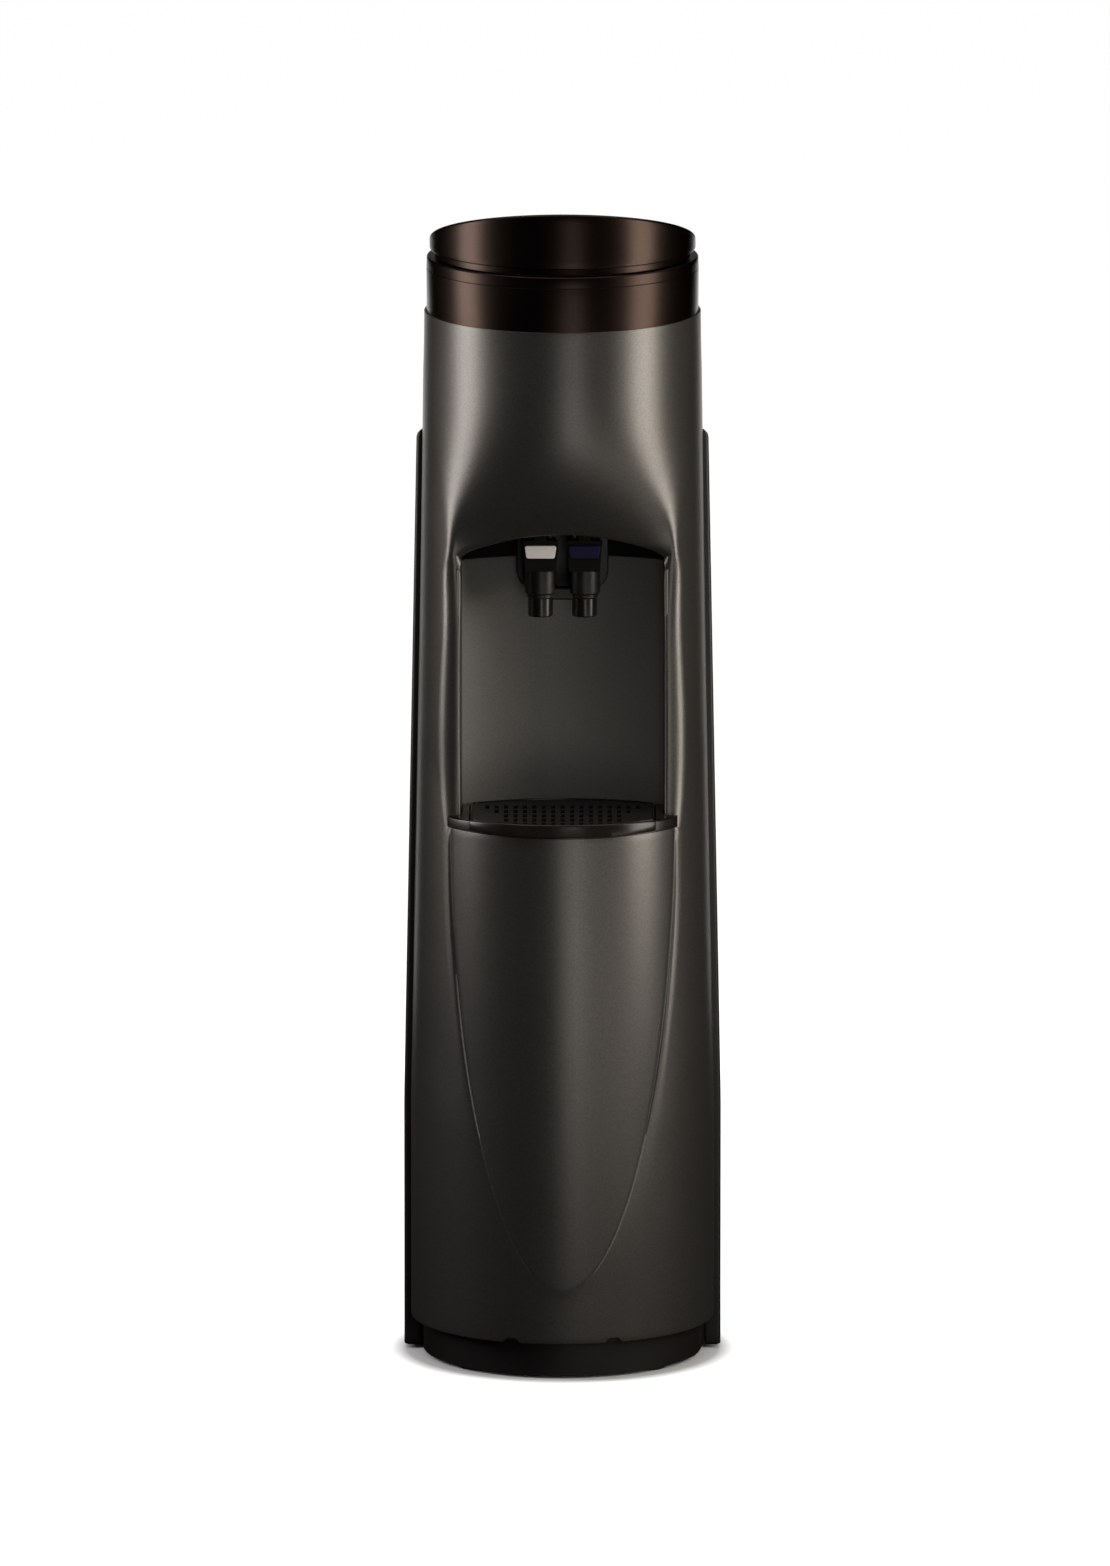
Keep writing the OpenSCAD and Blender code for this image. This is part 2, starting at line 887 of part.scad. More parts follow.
module tap_block() {
  neck_w = 10;
  bridge_y = tap_y + bridge_h / 2;
  color(gloss_black)
    difference() {
      union() {
        translate([0, plate_back_y, 0])
          rotate([90, 0, 0])
            linear_extrude(plate_t)
              tap_plate_outline();
        box(
          [-tap_x, bridge_y - bridge_h, barrel_low_z - bridge_h / 2],
          [tap_x, bridge_y, barrel_low_z + bridge_h / 2]
        );
        for (side = [-1, 1]) {
          translate([side * tap_x, tap_y, barrel_low_z])
            cylinder(r = barrel_r, h = barrel_top_z - barrel_low_z);
          translate([side * tap_x, tap_y, nozzle_z])
            cylinder(r = nozzle_r, h = barrel_low_z - nozzle_z + over);
          box(
            [side * tap_x - neck_w, tap_y, seat_z],
            [side * tap_x + neck_w, plate_back_y - plate_t / 2, barrel_top_z]
          );
          y_cylinder(
            [side * tap_x, plate_back_y - plate_t / 2, shank_z],
            shank_r, shank_back_y - plate_back_y + plate_t / 2
          );
        }
      }
      for (side = [-1, 1]) {
        translate([side * tap_x, tap_y, seat_z])
          cylinder(r = chamber_r, h = barrel_top_z);
        translate([side * tap_x, tap_y, nozzle_z - over])
          cylinder(r = outlet_r, h = seat_z);
        y_cylinder([side * tap_x, tap_y, shank_z], shank_bore_r, overall_depth);
      }
    }
}

module tap_gaskets() {
  gasket_back_y = liner_axis_y + sqrt(pow(liner_face_r, 2) - pow(tap_x + gasket_r, 2)) - clear;
  color(rubber_black)
    for (side = [-1, 1])
      difference() {
        y_cylinder([side * tap_x, plate_back_y, shank_z], gasket_r, gasket_back_y - plate_back_y);
        y_cylinder([side * tap_x, plate_back_y - over, shank_z], shank_r + running, overall_depth);
      }
}

module tap_nuts() {
  nut_y = liner_axis_y + sqrt(liner_r * liner_r - pow(tap_x - nut_r, 2)) + clear;
  color(satin_black)
    for (side = [-1, 1])
      difference() {
        translate([side * tap_x, nut_y, shank_z])
          rotate([-90, 0, 0])
            cylinder(r = nut_r, h = nut_t, $fn = 6);
        y_cylinder([side * tap_x, nut_y - over, shank_z], shank_r + running, nut_t + 2 * over);
      }
}

module tap_bonnets() {
  color(gloss_black)
    for (side = [-1, 1])
      translate([side * tap_x, 0, 0])
        difference() {
          union() {
            translate([0, tap_y, barrel_top_z])
              cylinder(r = barrel_r, h = bonnet_t);
            for (x = [-ear_out, ear_in])
              box(
                [x, pivot_y - hub_r, barrel_top_z],
                [x + ear_out - ear_in, pivot_y + hub_r + over, pivot_z + hub_r]
              );
          }
          translate([0, tap_y, 0])
            cylinder(r = stem_r + running, h = seam_z);
          x_cylinder([0, pivot_y, pivot_z], pin_r + running, 4 * ear_out);
        }
}

module lever_pins() {
  color(steel)
    for (side = [-1, 1])
      x_cylinder([side * tap_x, pivot_y, pivot_z], pin_r, 2 * ear_out);
}

// One push lever: hub on the pin, fork under the stem's head, arm and carrier plate in front
module lever(side) {
  hub_w = 2 * (ear_in - fork_gap);
  arm_w = 12;
  arm_h = 8;
  arm_top_z = pivot_z + arm_h / 2;
  arm_low_z = pivot_z - arm_h / 2;
  top_w = paddle_w / 2 + carrier_edge;
  low_w = top_w - paddle_taper;
  color(gloss_black)
    translate([side * tap_x, 0, 0])
      difference() {
        union() {
          x_cylinder([0, pivot_y, pivot_z], hub_r, hub_w);
          for (x = [-prong_out, prong_in]) {
            box([x, pivot_y, pivot_z - prong_r], [x + prong_out - prong_in, tap_y, pivot_z + prong_r]);
            x_cylinder([x + (prong_out - prong_in) / 2, tap_y, pivot_z], prong_r, prong_out - prong_in);
          }
          box([-arm_w / 2, paddle_back_y - carrier_t, arm_low_z], [arm_w / 2, pivot_y, arm_top_z]);
          translate([0, paddle_back_y, 0])
            rotate([90, 0, 0])
              linear_extrude(carrier_t)
                polygon([
                  [-low_w, carrier_low_z], [low_w, carrier_low_z],
                  [top_w, carrier_top_z], [-top_w, carrier_top_z]
                ]);
        }
        x_cylinder([0, pivot_y, pivot_z], pin_r + running, 4 * ear_out);
      }
}

module left_lever() {
  lever(-1);
}

module right_lever() {
  lever(1);
}

// One coloured paddle cap on the lever's carrier plate
module paddle(side) {
  top_w = paddle_w / 2;
  low_w = top_w - paddle_taper;
  cap_top_z = carrier_top_z - carrier_edge;
  translate([side * tap_x, paddle_back_y - carrier_t, 0])
    rotate([90, 0, 0])
      linear_extrude(paddle_t)
        polygon([[-low_w, paddle_low_z], [low_w, paddle_low_z], [top_w, cap_top_z], [-top_w, cap_top_z]]);
}

module left_paddle() {
  color(paddle_white)
    paddle(-1);
}

module right_paddle() {
  color(paddle_blue)
    paddle(1);
}

// One valve stem with its head over the lever's fork
module stem(side) {
  low_z = seat_z + clear + cup_h;
  color(steel)
    translate([side * tap_x, tap_y, 0]) {
      translate([0, 0, low_z])
        cylinder(r = stem_r, h = stem_head_z - low_z);
      translate([0, 0, stem_head_z])
        cylinder(r = stem_head_r, h = stem_head_t);
    }
}

module left_stem() {
  stem(-1);
}

module right_stem() {
  stem(1);
}

// One seat cup, the soft disc that closes the outlet
module seat_cup(side) {
  color(tube_clear)
    translate([side * tap_x, tap_y, seat_z + clear])
      cylinder(r1 = outlet_r + 2, r2 = chamber_r - 1.5, h = cup_h);
}

module left_seat_cup() {
  seat_cup(-1);
}

module right_seat_cup() {
  seat_cup(1);
}

// One closing spring in the barrel, as a plain sleeve
module valve_spring(side) {
  low_z = seat_z + clear + cup_h;
  color(steel)
    translate([side * tap_x, tap_y, low_z])
      difference() {
        cylinder(r = spring_r_out, h = barrel_top_z - low_z);
        translate([0, 0, -over])
          cylinder(r = spring_r_in, h = barrel_top_z);
      }
}

module left_spring() {
  valve_spring(-1);
}

module right_spring() {
  valve_spring(1);
}

module cold_tank() {
  color(steel)
    difference() {
      translate([0, collar_y, 0]) {
        translate([0, 0, tank_z])
          cylinder(r = tank_r, h = tank_h + rim_t);
        translate([0, 0, tank_top_z])
          cylinder(r = rim_r, h = rim_t);
      }
      translate([0, collar_y, tank_z + tank_wall])
        cylinder(r = tank_r - tank_wall, h = tank_h + rim_t);
      for (side = [-1, 1])
        translate([side * tap_x, hose_y, tank_z - over])
          cylinder(r = hose_bore_r, h = 2 * tank_wall + over);
    }
}

module tank_deck() {
  color(satin_black)
    difference() {
      translate([0, collar_y, deck_z])
        cylinder(r = collar_r - shell_wall - clear, h = deck_t);
      translate([0, collar_y, deck_z - over])
        cylinder(r = tank_r + clear, h = deck_t + 2 * over);
      translate([inlet_x, inlet_y, deck_z - over])
        cylinder(r = inlet_r + clear, h = deck_t + 2 * over);
    }
}

module tank_lid() {
  color(foam_white)
    difference() {
      translate([0, collar_y, tank_lid_z])
        cylinder(r = rim_r, h = tank_lid_t);
      translate([inlet_x, valve_y, tank_lid_z - over])
        cylinder(r = inlet_r, h = tank_lid_t + 2 * over);
    }
}

module baffle() {
  hole_n = 6;
  hole_turn = 30;
  hole_r = 4;
  hole_margin = 23;
  color(foam_white)
    difference() {
      union() {
        translate([0, collar_y, baffle_z])
          cylinder(r = tank_r - tank_wall - clear, h = baffle_t);
        translate([-tap_x, hose_y, tank_z + tank_wall])
          cylinder(r = baffle_pipe_r, h = baffle_z - tank_z - tank_wall + over);
      }
      translate([-tap_x, hose_y, tank_z])
        cylinder(r = hose_bore_r, h = tank_h);
      for (i = [0 : hole_n - 1])
        translate([0, collar_y, baffle_z - over])
          rotate([0, 0, hole_turn + i * 360 / hole_n])
            translate([tank_r - hole_margin, 0, 0])
              cylinder(r = hole_r, h = baffle_t + 2 * over);
    }
}

module float_valve() {
  lug_w = 4;
  lug_gap = float_hub + 0.5;
  lug_drop = 6;
  color(foam_white)
    difference() {
      union() {
        translate([inlet_x, valve_y, tank_lid_z - valve_h])
          cylinder(r = valve_r, h = valve_h);
        for (side = [-1, 1])
          translate([0, valve_y + side * (lug_gap + lug_w / 2), 0])
            box(
              [float_pivot_x - float_hub, -lug_w / 2, float_pivot_z - float_hub],
              [inlet_x, lug_w / 2, tank_lid_z - lug_drop]
            );
        y_cylinder(
          [float_pivot_x, valve_y - lug_gap - over, float_pivot_z],
          float_pin_r, 2 * (lug_gap + over)
        );
      }
      translate([inlet_x, valve_y, float_pivot_z])
        cylinder(r = inlet_r, h = valve_h);
    }
}

module float_arm() {
  arm_t = 4;
  color(foam_white)
    difference() {
      union() {
        y_cylinder([float_pivot_x, valve_y - float_hub, float_pivot_z], float_hub, 2 * float_hub);
        box(
          [float_x - arm_t, valve_y - arm_t / 2, float_pivot_z - arm_t / 2],
          [float_pivot_x, valve_y + arm_t / 2, float_pivot_z + arm_t / 2]
        );
        box(
          [float_x - arm_t, valve_y - arm_t / 2, float_top_z],
          [float_x + arm_t, valve_y + arm_t / 2, float_pivot_z]
        );
      }
      y_cylinder(
        [float_pivot_x, valve_y - 2 * float_hub, float_pivot_z],
        float_pin_r + running, 4 * float_hub
      );
    }
}

module float_ball() {
  color(foam_white)
    translate([float_x, valve_y, float_top_z - float_h])
      cylinder(r = float_r, h = float_h);
}

module evaporator_band() {
  band_margin = 25;
  color(copper)
    translate([0, collar_y, tank_z + band_margin])
      difference() {
        cylinder(r = tank_r + clear + band_t, h = tank_h - 3 * band_margin);
        translate([0, 0, -over])
          cylinder(r = tank_r + clear, h = tank_h);
      }
}

// One half of the foam jacket round the tank
module insulation(side) {
  inner_r = insulation_r - insulation_t;
  color(foam_white)
    difference() {
      translate([0, collar_y, insulation_z])
        cylinder(r = insulation_r, h = insulation_top_z - insulation_z);
      translate([0, collar_y, tank_z - clear])
        cylinder(r = inner_r, h = tank_h);
      mirror([side > 0 ? 0 : 1, 0, 0])
        box([-overall_width, front_y, 0], [clear / 2, back_y, seam_z]);
      for (x = [-tap_x, tap_x])
        translate([x, hose_y, 0])
          cylinder(r = hose_r + clear, h = tank_z);
    }
}

module insulation_left() {
  insulation(-1);
}

module insulation_right() {
  insulation(1);
}

// One soft hose from the tank's floor down to a tap's shank
module tap_hose(x) {
  top = [x, hose_y, tank_z];
  corner = [x, hose_y, shank_z];
  end = [x, shank_back_y, shank_z];
  color(tube_clear)
    difference() {
      pipe([top, corner, end], hose_r, bend_ratio * hose_r);
      pipe([top + [0, 0, over], corner, end - [0, over, 0]], hose_bore_r, bend_ratio * hose_r);
    }
}

module cold_tube() {
  tap_hose(tap_x);
}

module room_tube() {
  tap_hose(-tap_x);
}

module inlet_fitting() {
  hex_t = 8;
  tail = 16;
  color(foam_white)
    difference() {
      union() {
        y_cylinder([fitting_x, panel_y - tail, fitting_z], fitting_r - panel_step, tail + panel_t + over);
        y_cylinder([fitting_x, panel_y + panel_t, fitting_z], fitting_r, fitting_depth);
        translate([fitting_x, panel_y - hex_t, fitting_z])
          rotate([-90, 0, 0])
            cylinder(r = fitting_r + panel_step, h = hex_t, $fn = 6);
      }
      y_cylinder([fitting_x, panel_y - tail - over, fitting_z], inlet_r - 1, overall_depth);
      y_cylinder([fitting_x, panel_y + panel_t, fitting_z], fitting_bore_r, fitting_depth + over);
    }
}

module inlet_tube() {
  tail = 16;
  color(tube_clear)
    pipe([
      [fitting_x, panel_y - tail, fitting_z], [fitting_x, inlet_y, fitting_z],
      [fitting_x, inlet_y, crossing_z], [inlet_x, inlet_y, crossing_z], [inlet_x, inlet_y, inlet_top_z],
      [inlet_x, valve_y, inlet_top_z], [inlet_x, valve_y, tank_lid_z + tank_lid_t]
    ], inlet_r, inlet_bend_r);
}

// One frame upright, a folded steel channel from the pan to the shell's top flange
module upright(side) {
  wall = 1.5;
  top_z = seam_z - shell_wall;
  color(steel)
    translate([side * upright_x, upright_y, 0])
      difference() {
        box([-upright_w / 2, -upright_t / 2, pan_z], [upright_w / 2, upright_t / 2, top_z]);
        box(
          [-upright_w / 2 + wall, -upright_t / 2 - over, 0],
          [upright_w / 2 - wall, upright_t / 2 - wall, seam_z]
        );
      }
}

module left_upright() {
  upright(-1);
}

module right_upright() {
  upright(1);
}

module tank_shelf() {
  half_w = upright_x - upright_w / 2 - clear;
  reach = 60;
  color(steel)
    difference() {
      box([-half_w, collar_y - reach, shelf_z], [half_w, upright_y + upright_t / 2, shelf_z + shelf_t]);
      for (x = [-tap_x, tap_x])
        translate([x, hose_y, 0])
          cylinder(r = hose_r + clear, h = seam_z);
      translate([-inlet_x, suction_y, 0])
        cylinder(r = pipe_r + clear, h = seam_z);
    }
}

module compressor() {
  dome = 22;
  h = compressor_h;
  r = compressor_r;
  foot_half = compressor_foot + 8;
  plate_z = compressor_z;
  color(satin_black)
    difference() {
      union() {
        box(
          [-foot_half, compressor_y - foot_half, plate_z],
          [foot_half, compressor_y + foot_half, plate_z + compressor_plate_t]
        );
        translate([0, compressor_y, plate_z + compressor_plate_t])
          rotate_extrude()
            intersection() {
              square([r, h]);
              union() {
                square([r - dome, h]);
                translate([0, dome])
                  square([r, h - 2 * dome]);
                for (z = [dome, h - dome])
                  translate([r - dome, z])
                    circle(r = dome);
              }
            }
      }
      for (x = [-compressor_foot, compressor_foot], y = [-compressor_foot, compressor_foot])
        translate([x, compressor_y + y, 0])
          cylinder(r = grommet_neck_r + clear, h = plate_z + compressor_plate_t + over);
    }
}

module compressor_grommets() {
  color(rubber_black)
    for (x = [-compressor_foot, compressor_foot], y = [-compressor_foot, compressor_foot])
      translate([x, compressor_y + y, pan_z]) {
        cylinder(r = grommet_r, h = grommet_h);
        cylinder(r = grommet_neck_r, h = grommet_h + compressor_plate_t + grommet_neck_r);
      }
}

module start_relay() {
  relay_t = 24;
  relay_z = compressor_z + 60;
  color(satin_black)
    difference() {
      translate([-compressor_r - relay_t, compressor_y - relay_w / 2, relay_z])
        cube([2 * relay_t, relay_w, relay_w]);
      translate([0, compressor_y, 0])
        cylinder(r = compressor_r + clear, h = seam_z);
    }
}

module suction_tube() {
  low_z = compressor_z + compressor_plate_t + compressor_h;
  color(copper)
    rod([-inlet_x, suction_y, low_z], [-inlet_x, suction_y, insulation_z], pipe_r);
}

module discharge_tube() {
  low_z = compressor_z + compressor_plate_t + compressor_h;
  bend_r = bend_ratio * condenser_r;
  level_z = condenser_low_z - 2 * bend_r - over;
  leg_x = -condenser_half_w - bend_r - over;
  riser_y = upright_y + upright_t / 2 + bend_r;
  end = [-condenser_half_w, condenser_y, condenser_low_z];
  color(copper)
    pipe([
      [0, riser_y, low_z], [0, riser_y, level_z], [leg_x, riser_y, level_z],
      [leg_x, condenser_y, level_z], [leg_x, condenser_y, condenser_low_z], end
    ], condenser_r, bend_r);
}

// The condenser's serpentine: level runs joined by half-round bends
module condenser_tube() {
  bend_r = condenser_pitch / 2;
  color(satin_black)
    translate([0, condenser_y, 0]) {
      for (i = [0 : condenser_runs - 1])
        x_cylinder([0, 0, condenser_low_z + i * condenser_pitch], condenser_r, 2 * condenser_half_w);
      for (i = [0 : condenser_runs - 2])
        translate([0, 0, condenser_low_z + (i + 0.5) * condenser_pitch])
          mirror([i % 2, 0, 0])
            translate([condenser_half_w, 0, 0])
              rotate([90, -90, 0])
                rotate_extrude(angle = 180)
                  translate([bend_r, 0])
                    circle(r = condenser_r);
    }
}

module condenser_wires() {
  count = floor(condenser_half_w / wire_pitch);
  low_z = condenser_low_z - wire_reach;
  color(satin_black)
    for (i = [-count : count], y = [-wire_y, wire_y])
      translate([i * wire_pitch, condenser_y + y, low_z])
        cylinder(r = wire_r, h = condenser_end_z - condenser_low_z + 2 * wire_reach);
}

// Folded strips that hang the condenser's bends on the rear shell's window frame
module condenser_brackets() {
  strip_y = back_y - shell_wall - bracket_t;
  color(steel)
    for (side = [-1, 1], z = bracket_z)
      translate([0, 0, z - bracket_w / 2]) {
        translate([side > 0 ? bracket_x : -bracket_x - bracket_w / 2, strip_y, 0])
          cube([bracket_w / 2, bracket_t, bracket_w]);
        translate([side > 0 ? bracket_x : -bracket_x - bracket_t, condenser_y - condenser_r, 0])
          cube([bracket_t, strip_y - condenser_y + condenser_r + bracket_t, bracket_w]);
      }
}

module filter_drier() {
  neck_h = 12;
  color(copper)
    translate([upright_x - upright_w / 2 - drier_r - clear, upright_y, drier_z]) {
      cylinder(r = drier_r, h = drier_h);
      translate([0, 0, drier_h])
        cylinder(r1 = drier_r, r2 = condenser_r, h = neck_h);
      translate([0, 0, -neck_h])
        cylinder(r1 = condenser_r, r2 = drier_r, h = neck_h);
    }
}

module service_panel() {
  hole_y = panel_y - over;
  hole_l = panel_t + 2 * over;
  window_w = switch_w - 2 * switch_lip;
  window_h = switch_h - 2 * switch_lip;
  color(steel)
    difference() {
      box([-panel_half_w, panel_y, plinth_top_z], [panel_half_w, panel_y + panel_t, panel_top_z]);
      y_cylinder([fitting_x, hole_y, fitting_z], fitting_r - panel_step + running, hole_l);
      y_cylinder([knob_x, hole_y, knob_z], knob_shaft_r + running, hole_l);
      y_cylinder([gland_x, hole_y, gland_z], gland_r - panel_step + running, hole_l);
      translate([switch_x - window_w / 2, hole_y, switch_z - window_h / 2])
        cube([window_w, hole_l, window_h]);
      for (x = [-upright_x, upright_x])
        y_cylinder([x, hole_y, plinth_top_z + boss_h / 2], screw_shank_r + running, hole_l);
    }
}

module panel_screws() {
  color(steel)
    for (x = [-upright_x, upright_x]) {
      y_cylinder([x, panel_y + panel_t, plinth_top_z + boss_h / 2], screw_r, screw_head_t);
      y_cylinder(
        [x, panel_y - screw_l, plinth_top_z + boss_h / 2],
        screw_shank_r, screw_l + panel_t + over
      );
    }
}

module thermostat() {
  depth = 30;
  color(foam_white)
    difference() {
      translate([knob_x - thermostat_w / 2, panel_y - depth, knob_z - thermostat_w / 2])
        cube([thermostat_w, depth, thermostat_w]);
      y_cylinder([knob_x, panel_y - knob_shaft_l - over, knob_z], knob_shaft_r + running, depth);
    }
}

module thermostat_knob() {
  flute_n = 12;
  flute_r = 1.6;
  color(satin_black)
    difference() {
      union() {
        y_cylinder([knob_x, panel_y + panel_t + clear, knob_z], knob_r, knob_h);
        y_cylinder([knob_x, panel_y - knob_shaft_l, knob_z], knob_shaft_r, knob_shaft_l + panel_t + over);
      }
      for (i = [0 : flute_n - 1])
        translate([knob_x, panel_y + panel_t, knob_z])
          rotate([0, i * 360 / flute_n, 0])
            translate([knob_r, 0, 0])
              y_cylinder([0, 0, 0], flute_r, knob_h + over);
    }
}

module switch_bezel() {
  depth = 14;
  floor_t = 1.5;
  body_w = switch_w - 2 * switch_lip - 2 * clear;
  body_h = switch_h - 2 * switch_lip - 2 * clear;
  color(satin_black)
    difference() {
      union() {
        translate([switch_x - switch_w / 2, panel_y + panel_t, switch_z - switch_h / 2])
          cube([switch_w, bezel_t, switch_h]);
        translate([switch_x - body_w / 2, panel_y - depth, switch_z - body_h / 2])
          cube([body_w, depth + panel_t + over, body_h]);
      }
      translate([switch_x - rocker_window_w / 2, panel_y - depth + floor_t, switch_z - rocker_window_h / 2])
        cube([rocker_window_w, overall_depth, rocker_window_h]);
    }
}

// The rocker, dished between its two ends and resting with its upper end pressed in
module switch_rocker() {
  rocker_w = rocker_window_w - 2 * clear;
  half_h = rocker_window_h / 2 - 2;
  back = 6;
  waist = 2;
  crown = 6;
  dish = 2.5;
  color(rubber_black)
    translate([switch_x - rocker_w / 2, panel_y + panel_t, switch_z])
      rotate([-rocker_tilt, 0, 0])
        rotate([90, 0, 90])
          linear_extrude(rocker_w)
            polygon([
              [-back, dish - half_h], [-back, half_h - dish], [waist, half_h], [crown, half_h],
              [crown - dish, 0], [crown, -half_h], [waist, -half_h]
            ]);
}

module power_gland() {
  tail = 12;
  hex_t = 6;
  color(satin_black)
    difference() {
      union() {
        y_cylinder([gland_x, panel_y - tail, gland_z], gland_r - panel_step, tail + panel_t + over);
        translate([gland_x, panel_y + panel_t, gland_z])
          rotate([-90, 0, 0])
            cylinder(r1 = gland_r + panel_step, r2 = gland_r - panel_step, h = gland_h);
        translate([gland_x, panel_y - hex_t, gland_z])
          rotate([-90, 0, 0])
            cylinder(r = gland_r + panel_step, h = hex_t, $fn = 6);
      }
      y_cylinder([gland_x, panel_y - tail - over, gland_z], gland_bore_r, overall_depth);
    }
}

base_plinth();
foot_pads();
front_shell();
rear_shell();
alcove_liner();
tap_panel();
top_collar();
lid();
tray_cradle();
drip_tray();
drip_grille();
tap_block();
tap_gaskets();
tap_nuts();
tap_bonnets();
lever_pins();
left_lever();
right_lever();
left_paddle();
right_paddle();
left_stem();
right_stem();
left_seat_cup();
right_seat_cup();
left_spring();
right_spring();
cold_tank();
tank_deck();
tank_lid();
baffle();
float_valve();
float_arm();
float_ball();
evaporator_band();
insulation_left();
insulation_right();
cold_tube();
room_tube();
inlet_fitting();
inlet_tube();
left_upright();
right_upright();
tank_shelf();
compressor();
compressor_grommets();
start_relay();
suction_tube();
discharge_tube();
condenser_tube();
condenser_wires();
condenser_brackets();
filter_drier();
service_panel();
panel_screws();
thermostat();
thermostat_knob();
switch_bezel();
switch_rocker();
power_gland();
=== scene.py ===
"""A point-of-use water cooler: a slim painted tower with a hooded alcove, two taps and a drip tray."""
import math

import bpy
import numpy as np
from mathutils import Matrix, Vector


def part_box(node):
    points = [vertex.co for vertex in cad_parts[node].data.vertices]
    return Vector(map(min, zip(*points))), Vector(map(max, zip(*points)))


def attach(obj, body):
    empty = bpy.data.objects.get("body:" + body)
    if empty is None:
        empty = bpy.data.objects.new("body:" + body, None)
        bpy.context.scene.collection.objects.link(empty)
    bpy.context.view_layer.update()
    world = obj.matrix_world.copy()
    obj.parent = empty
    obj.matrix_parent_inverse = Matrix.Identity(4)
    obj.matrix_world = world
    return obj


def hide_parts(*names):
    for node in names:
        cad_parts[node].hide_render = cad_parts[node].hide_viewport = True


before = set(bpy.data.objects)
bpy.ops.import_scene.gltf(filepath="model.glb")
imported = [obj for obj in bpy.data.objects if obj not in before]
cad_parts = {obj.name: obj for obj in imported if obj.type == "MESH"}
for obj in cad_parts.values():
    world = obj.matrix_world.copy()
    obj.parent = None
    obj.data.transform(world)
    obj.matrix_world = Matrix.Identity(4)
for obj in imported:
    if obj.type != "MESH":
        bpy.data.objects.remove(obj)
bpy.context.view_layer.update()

# The studio
# A pale floor that glows as painted light, which keeps it white except close round the tower, where only the
# lamps light it and their contact shadow shows, and a white surround that only the camera sees. Tall
# softboxes at both sides draw the long bands of light down the casing, and weaker lights stand in front,
# behind and overhead.
mm = 0.001
frame_h_px = 1566
pixel = 0.96 * mm
camera_elevation = math.radians(11)
camera_distance = 22.0
aim = Vector((-7.2 * mm, -7.5 * mm, 555.9 * mm))
floor_reach = 31.0
surround_r = 31.5
surround_rows, surround_columns = 33, 64

scene = bpy.context.scene
scene.view_settings.view_transform = "Standard"
back = Vector((0, -math.cos(camera_elevation), math.sin(camera_elevation)))
camera = bpy.data.objects.new("camera", bpy.data.cameras.new("camera"))
camera.data.sensor_width = 36
camera.data.lens = camera.data.sensor_width * camera_distance / (frame_h_px * pixel)
camera.data.clip_end = 100
camera.location = aim + back * camera_distance
camera.rotation_euler = (-back).to_track_quat("-Z", "Y").to_euler()
scene.collection.objects.link(camera)
scene.camera = camera

world = bpy.data.worlds.new("studio")
scene.world = world
world.use_nodes = True
surrounding = world.node_tree.nodes["Background"]
surrounding.inputs["Color"].default_value = (1.0, 0.99, 0.97, 1)
surrounding.inputs["Strength"].default_value = 0.1
world.cycles_visibility.glossy = False
world.cycles_visibility.camera = False


def softbox(name, azimuth, distance, middle_z, width, height, radiance, tint=(1, 1, 1)):
    """A rectangle of light that faces the tower's axis; azimuth 0 is the camera's side, 90 is +X."""
    a = math.radians(azimuth)
    data = bpy.data.lights.new(name, "AREA")
    data.shape = "RECTANGLE"
    data.size = width
    data.size_y = height
    data.energy = math.pi * width * height * radiance
    data.color = tint
    light = bpy.data.objects.new(name, data)
    light.location = (distance * math.sin(a), -distance * math.cos(a), middle_z)
    inward = Vector((-math.sin(a), math.cos(a), 0))
    light.rotation_euler = inward.to_track_quat("-Z", "Y").to_euler()
    light.visible_camera = False
    scene.collection.objects.link(light)
    return light


softbox("left_strip", -84, 1.3, 0.95, 0.5, 1.0, 6.0, (1, 0.975, 0.96))
softbox("right_strip", 69, 1.3, 0.85, 0.5, 1.15, 5.4, (1, 0.955, 0.89))
softbox("front_strip", 8, 1.2, 0.52, 0.3, 0.92, 1.2)
softbox("low_fill", 33, 1.1, 0.2, 1.1, 0.36, 0.68, (1, 0.94, 0.87))
softbox("left_rim", -160, 1.5, 0.45, 0.4, 0.8, 1.2)
softbox("right_rim", 160, 1.5, 0.45, 0.4, 0.8, 1.2)
softbox("back_fill", 180, 1.6, 0.75, 1.0, 1.1, 0.45)
overhead = softbox("overhead", 0, 0, 2.6, 3.0, 3.0, 0.9)
overhead.rotation_euler = (0, 0, 0)


def put_mesh(name, material, points, faces, caps=()):
    """A new object of one material, with the given points, in millimetres, and quads, shaded smooth with
    sharp corners kept; each cap is a loop of points closed by one flat face."""
    points = np.asarray(points, float).reshape(-1, 3)
    faces = np.asarray(faces, np.int32).reshape(-1, 4)
    loops = np.concatenate([faces.ravel(), *[np.asarray(cap, np.int32) for cap in caps]])
    sizes = np.concatenate([np.full(len(faces), 4), [len(cap) for cap in caps]]).astype(np.int32)
    used, rank = np.unique(loops, return_inverse=True)
    mesh = bpy.data.meshes.new(name)
    mesh.materials.append(material)
    mesh.vertices.add(len(used))
    mesh.vertices.foreach_set("co", (points[used] * mm).astype(np.float32).ravel())
    mesh.loops.add(len(loops))
    mesh.loops.foreach_set("vertex_index", rank.astype(np.int32))
    mesh.polygons.add(len(sizes))
    mesh.polygons.foreach_set("loop_start", (np.cumsum(sizes) - sizes).astype(np.int32))
    mesh.polygons.foreach_set("loop_total", sizes)
    mesh.update(calc_edges=True)
    mesh.validate()
    mesh.shade_smooth()
    mesh.set_sharp_from_angle(angle=math.radians(38))
    piece = bpy.data.objects.new(name, mesh)
    scene.collection.objects.link(piece)
    return piece


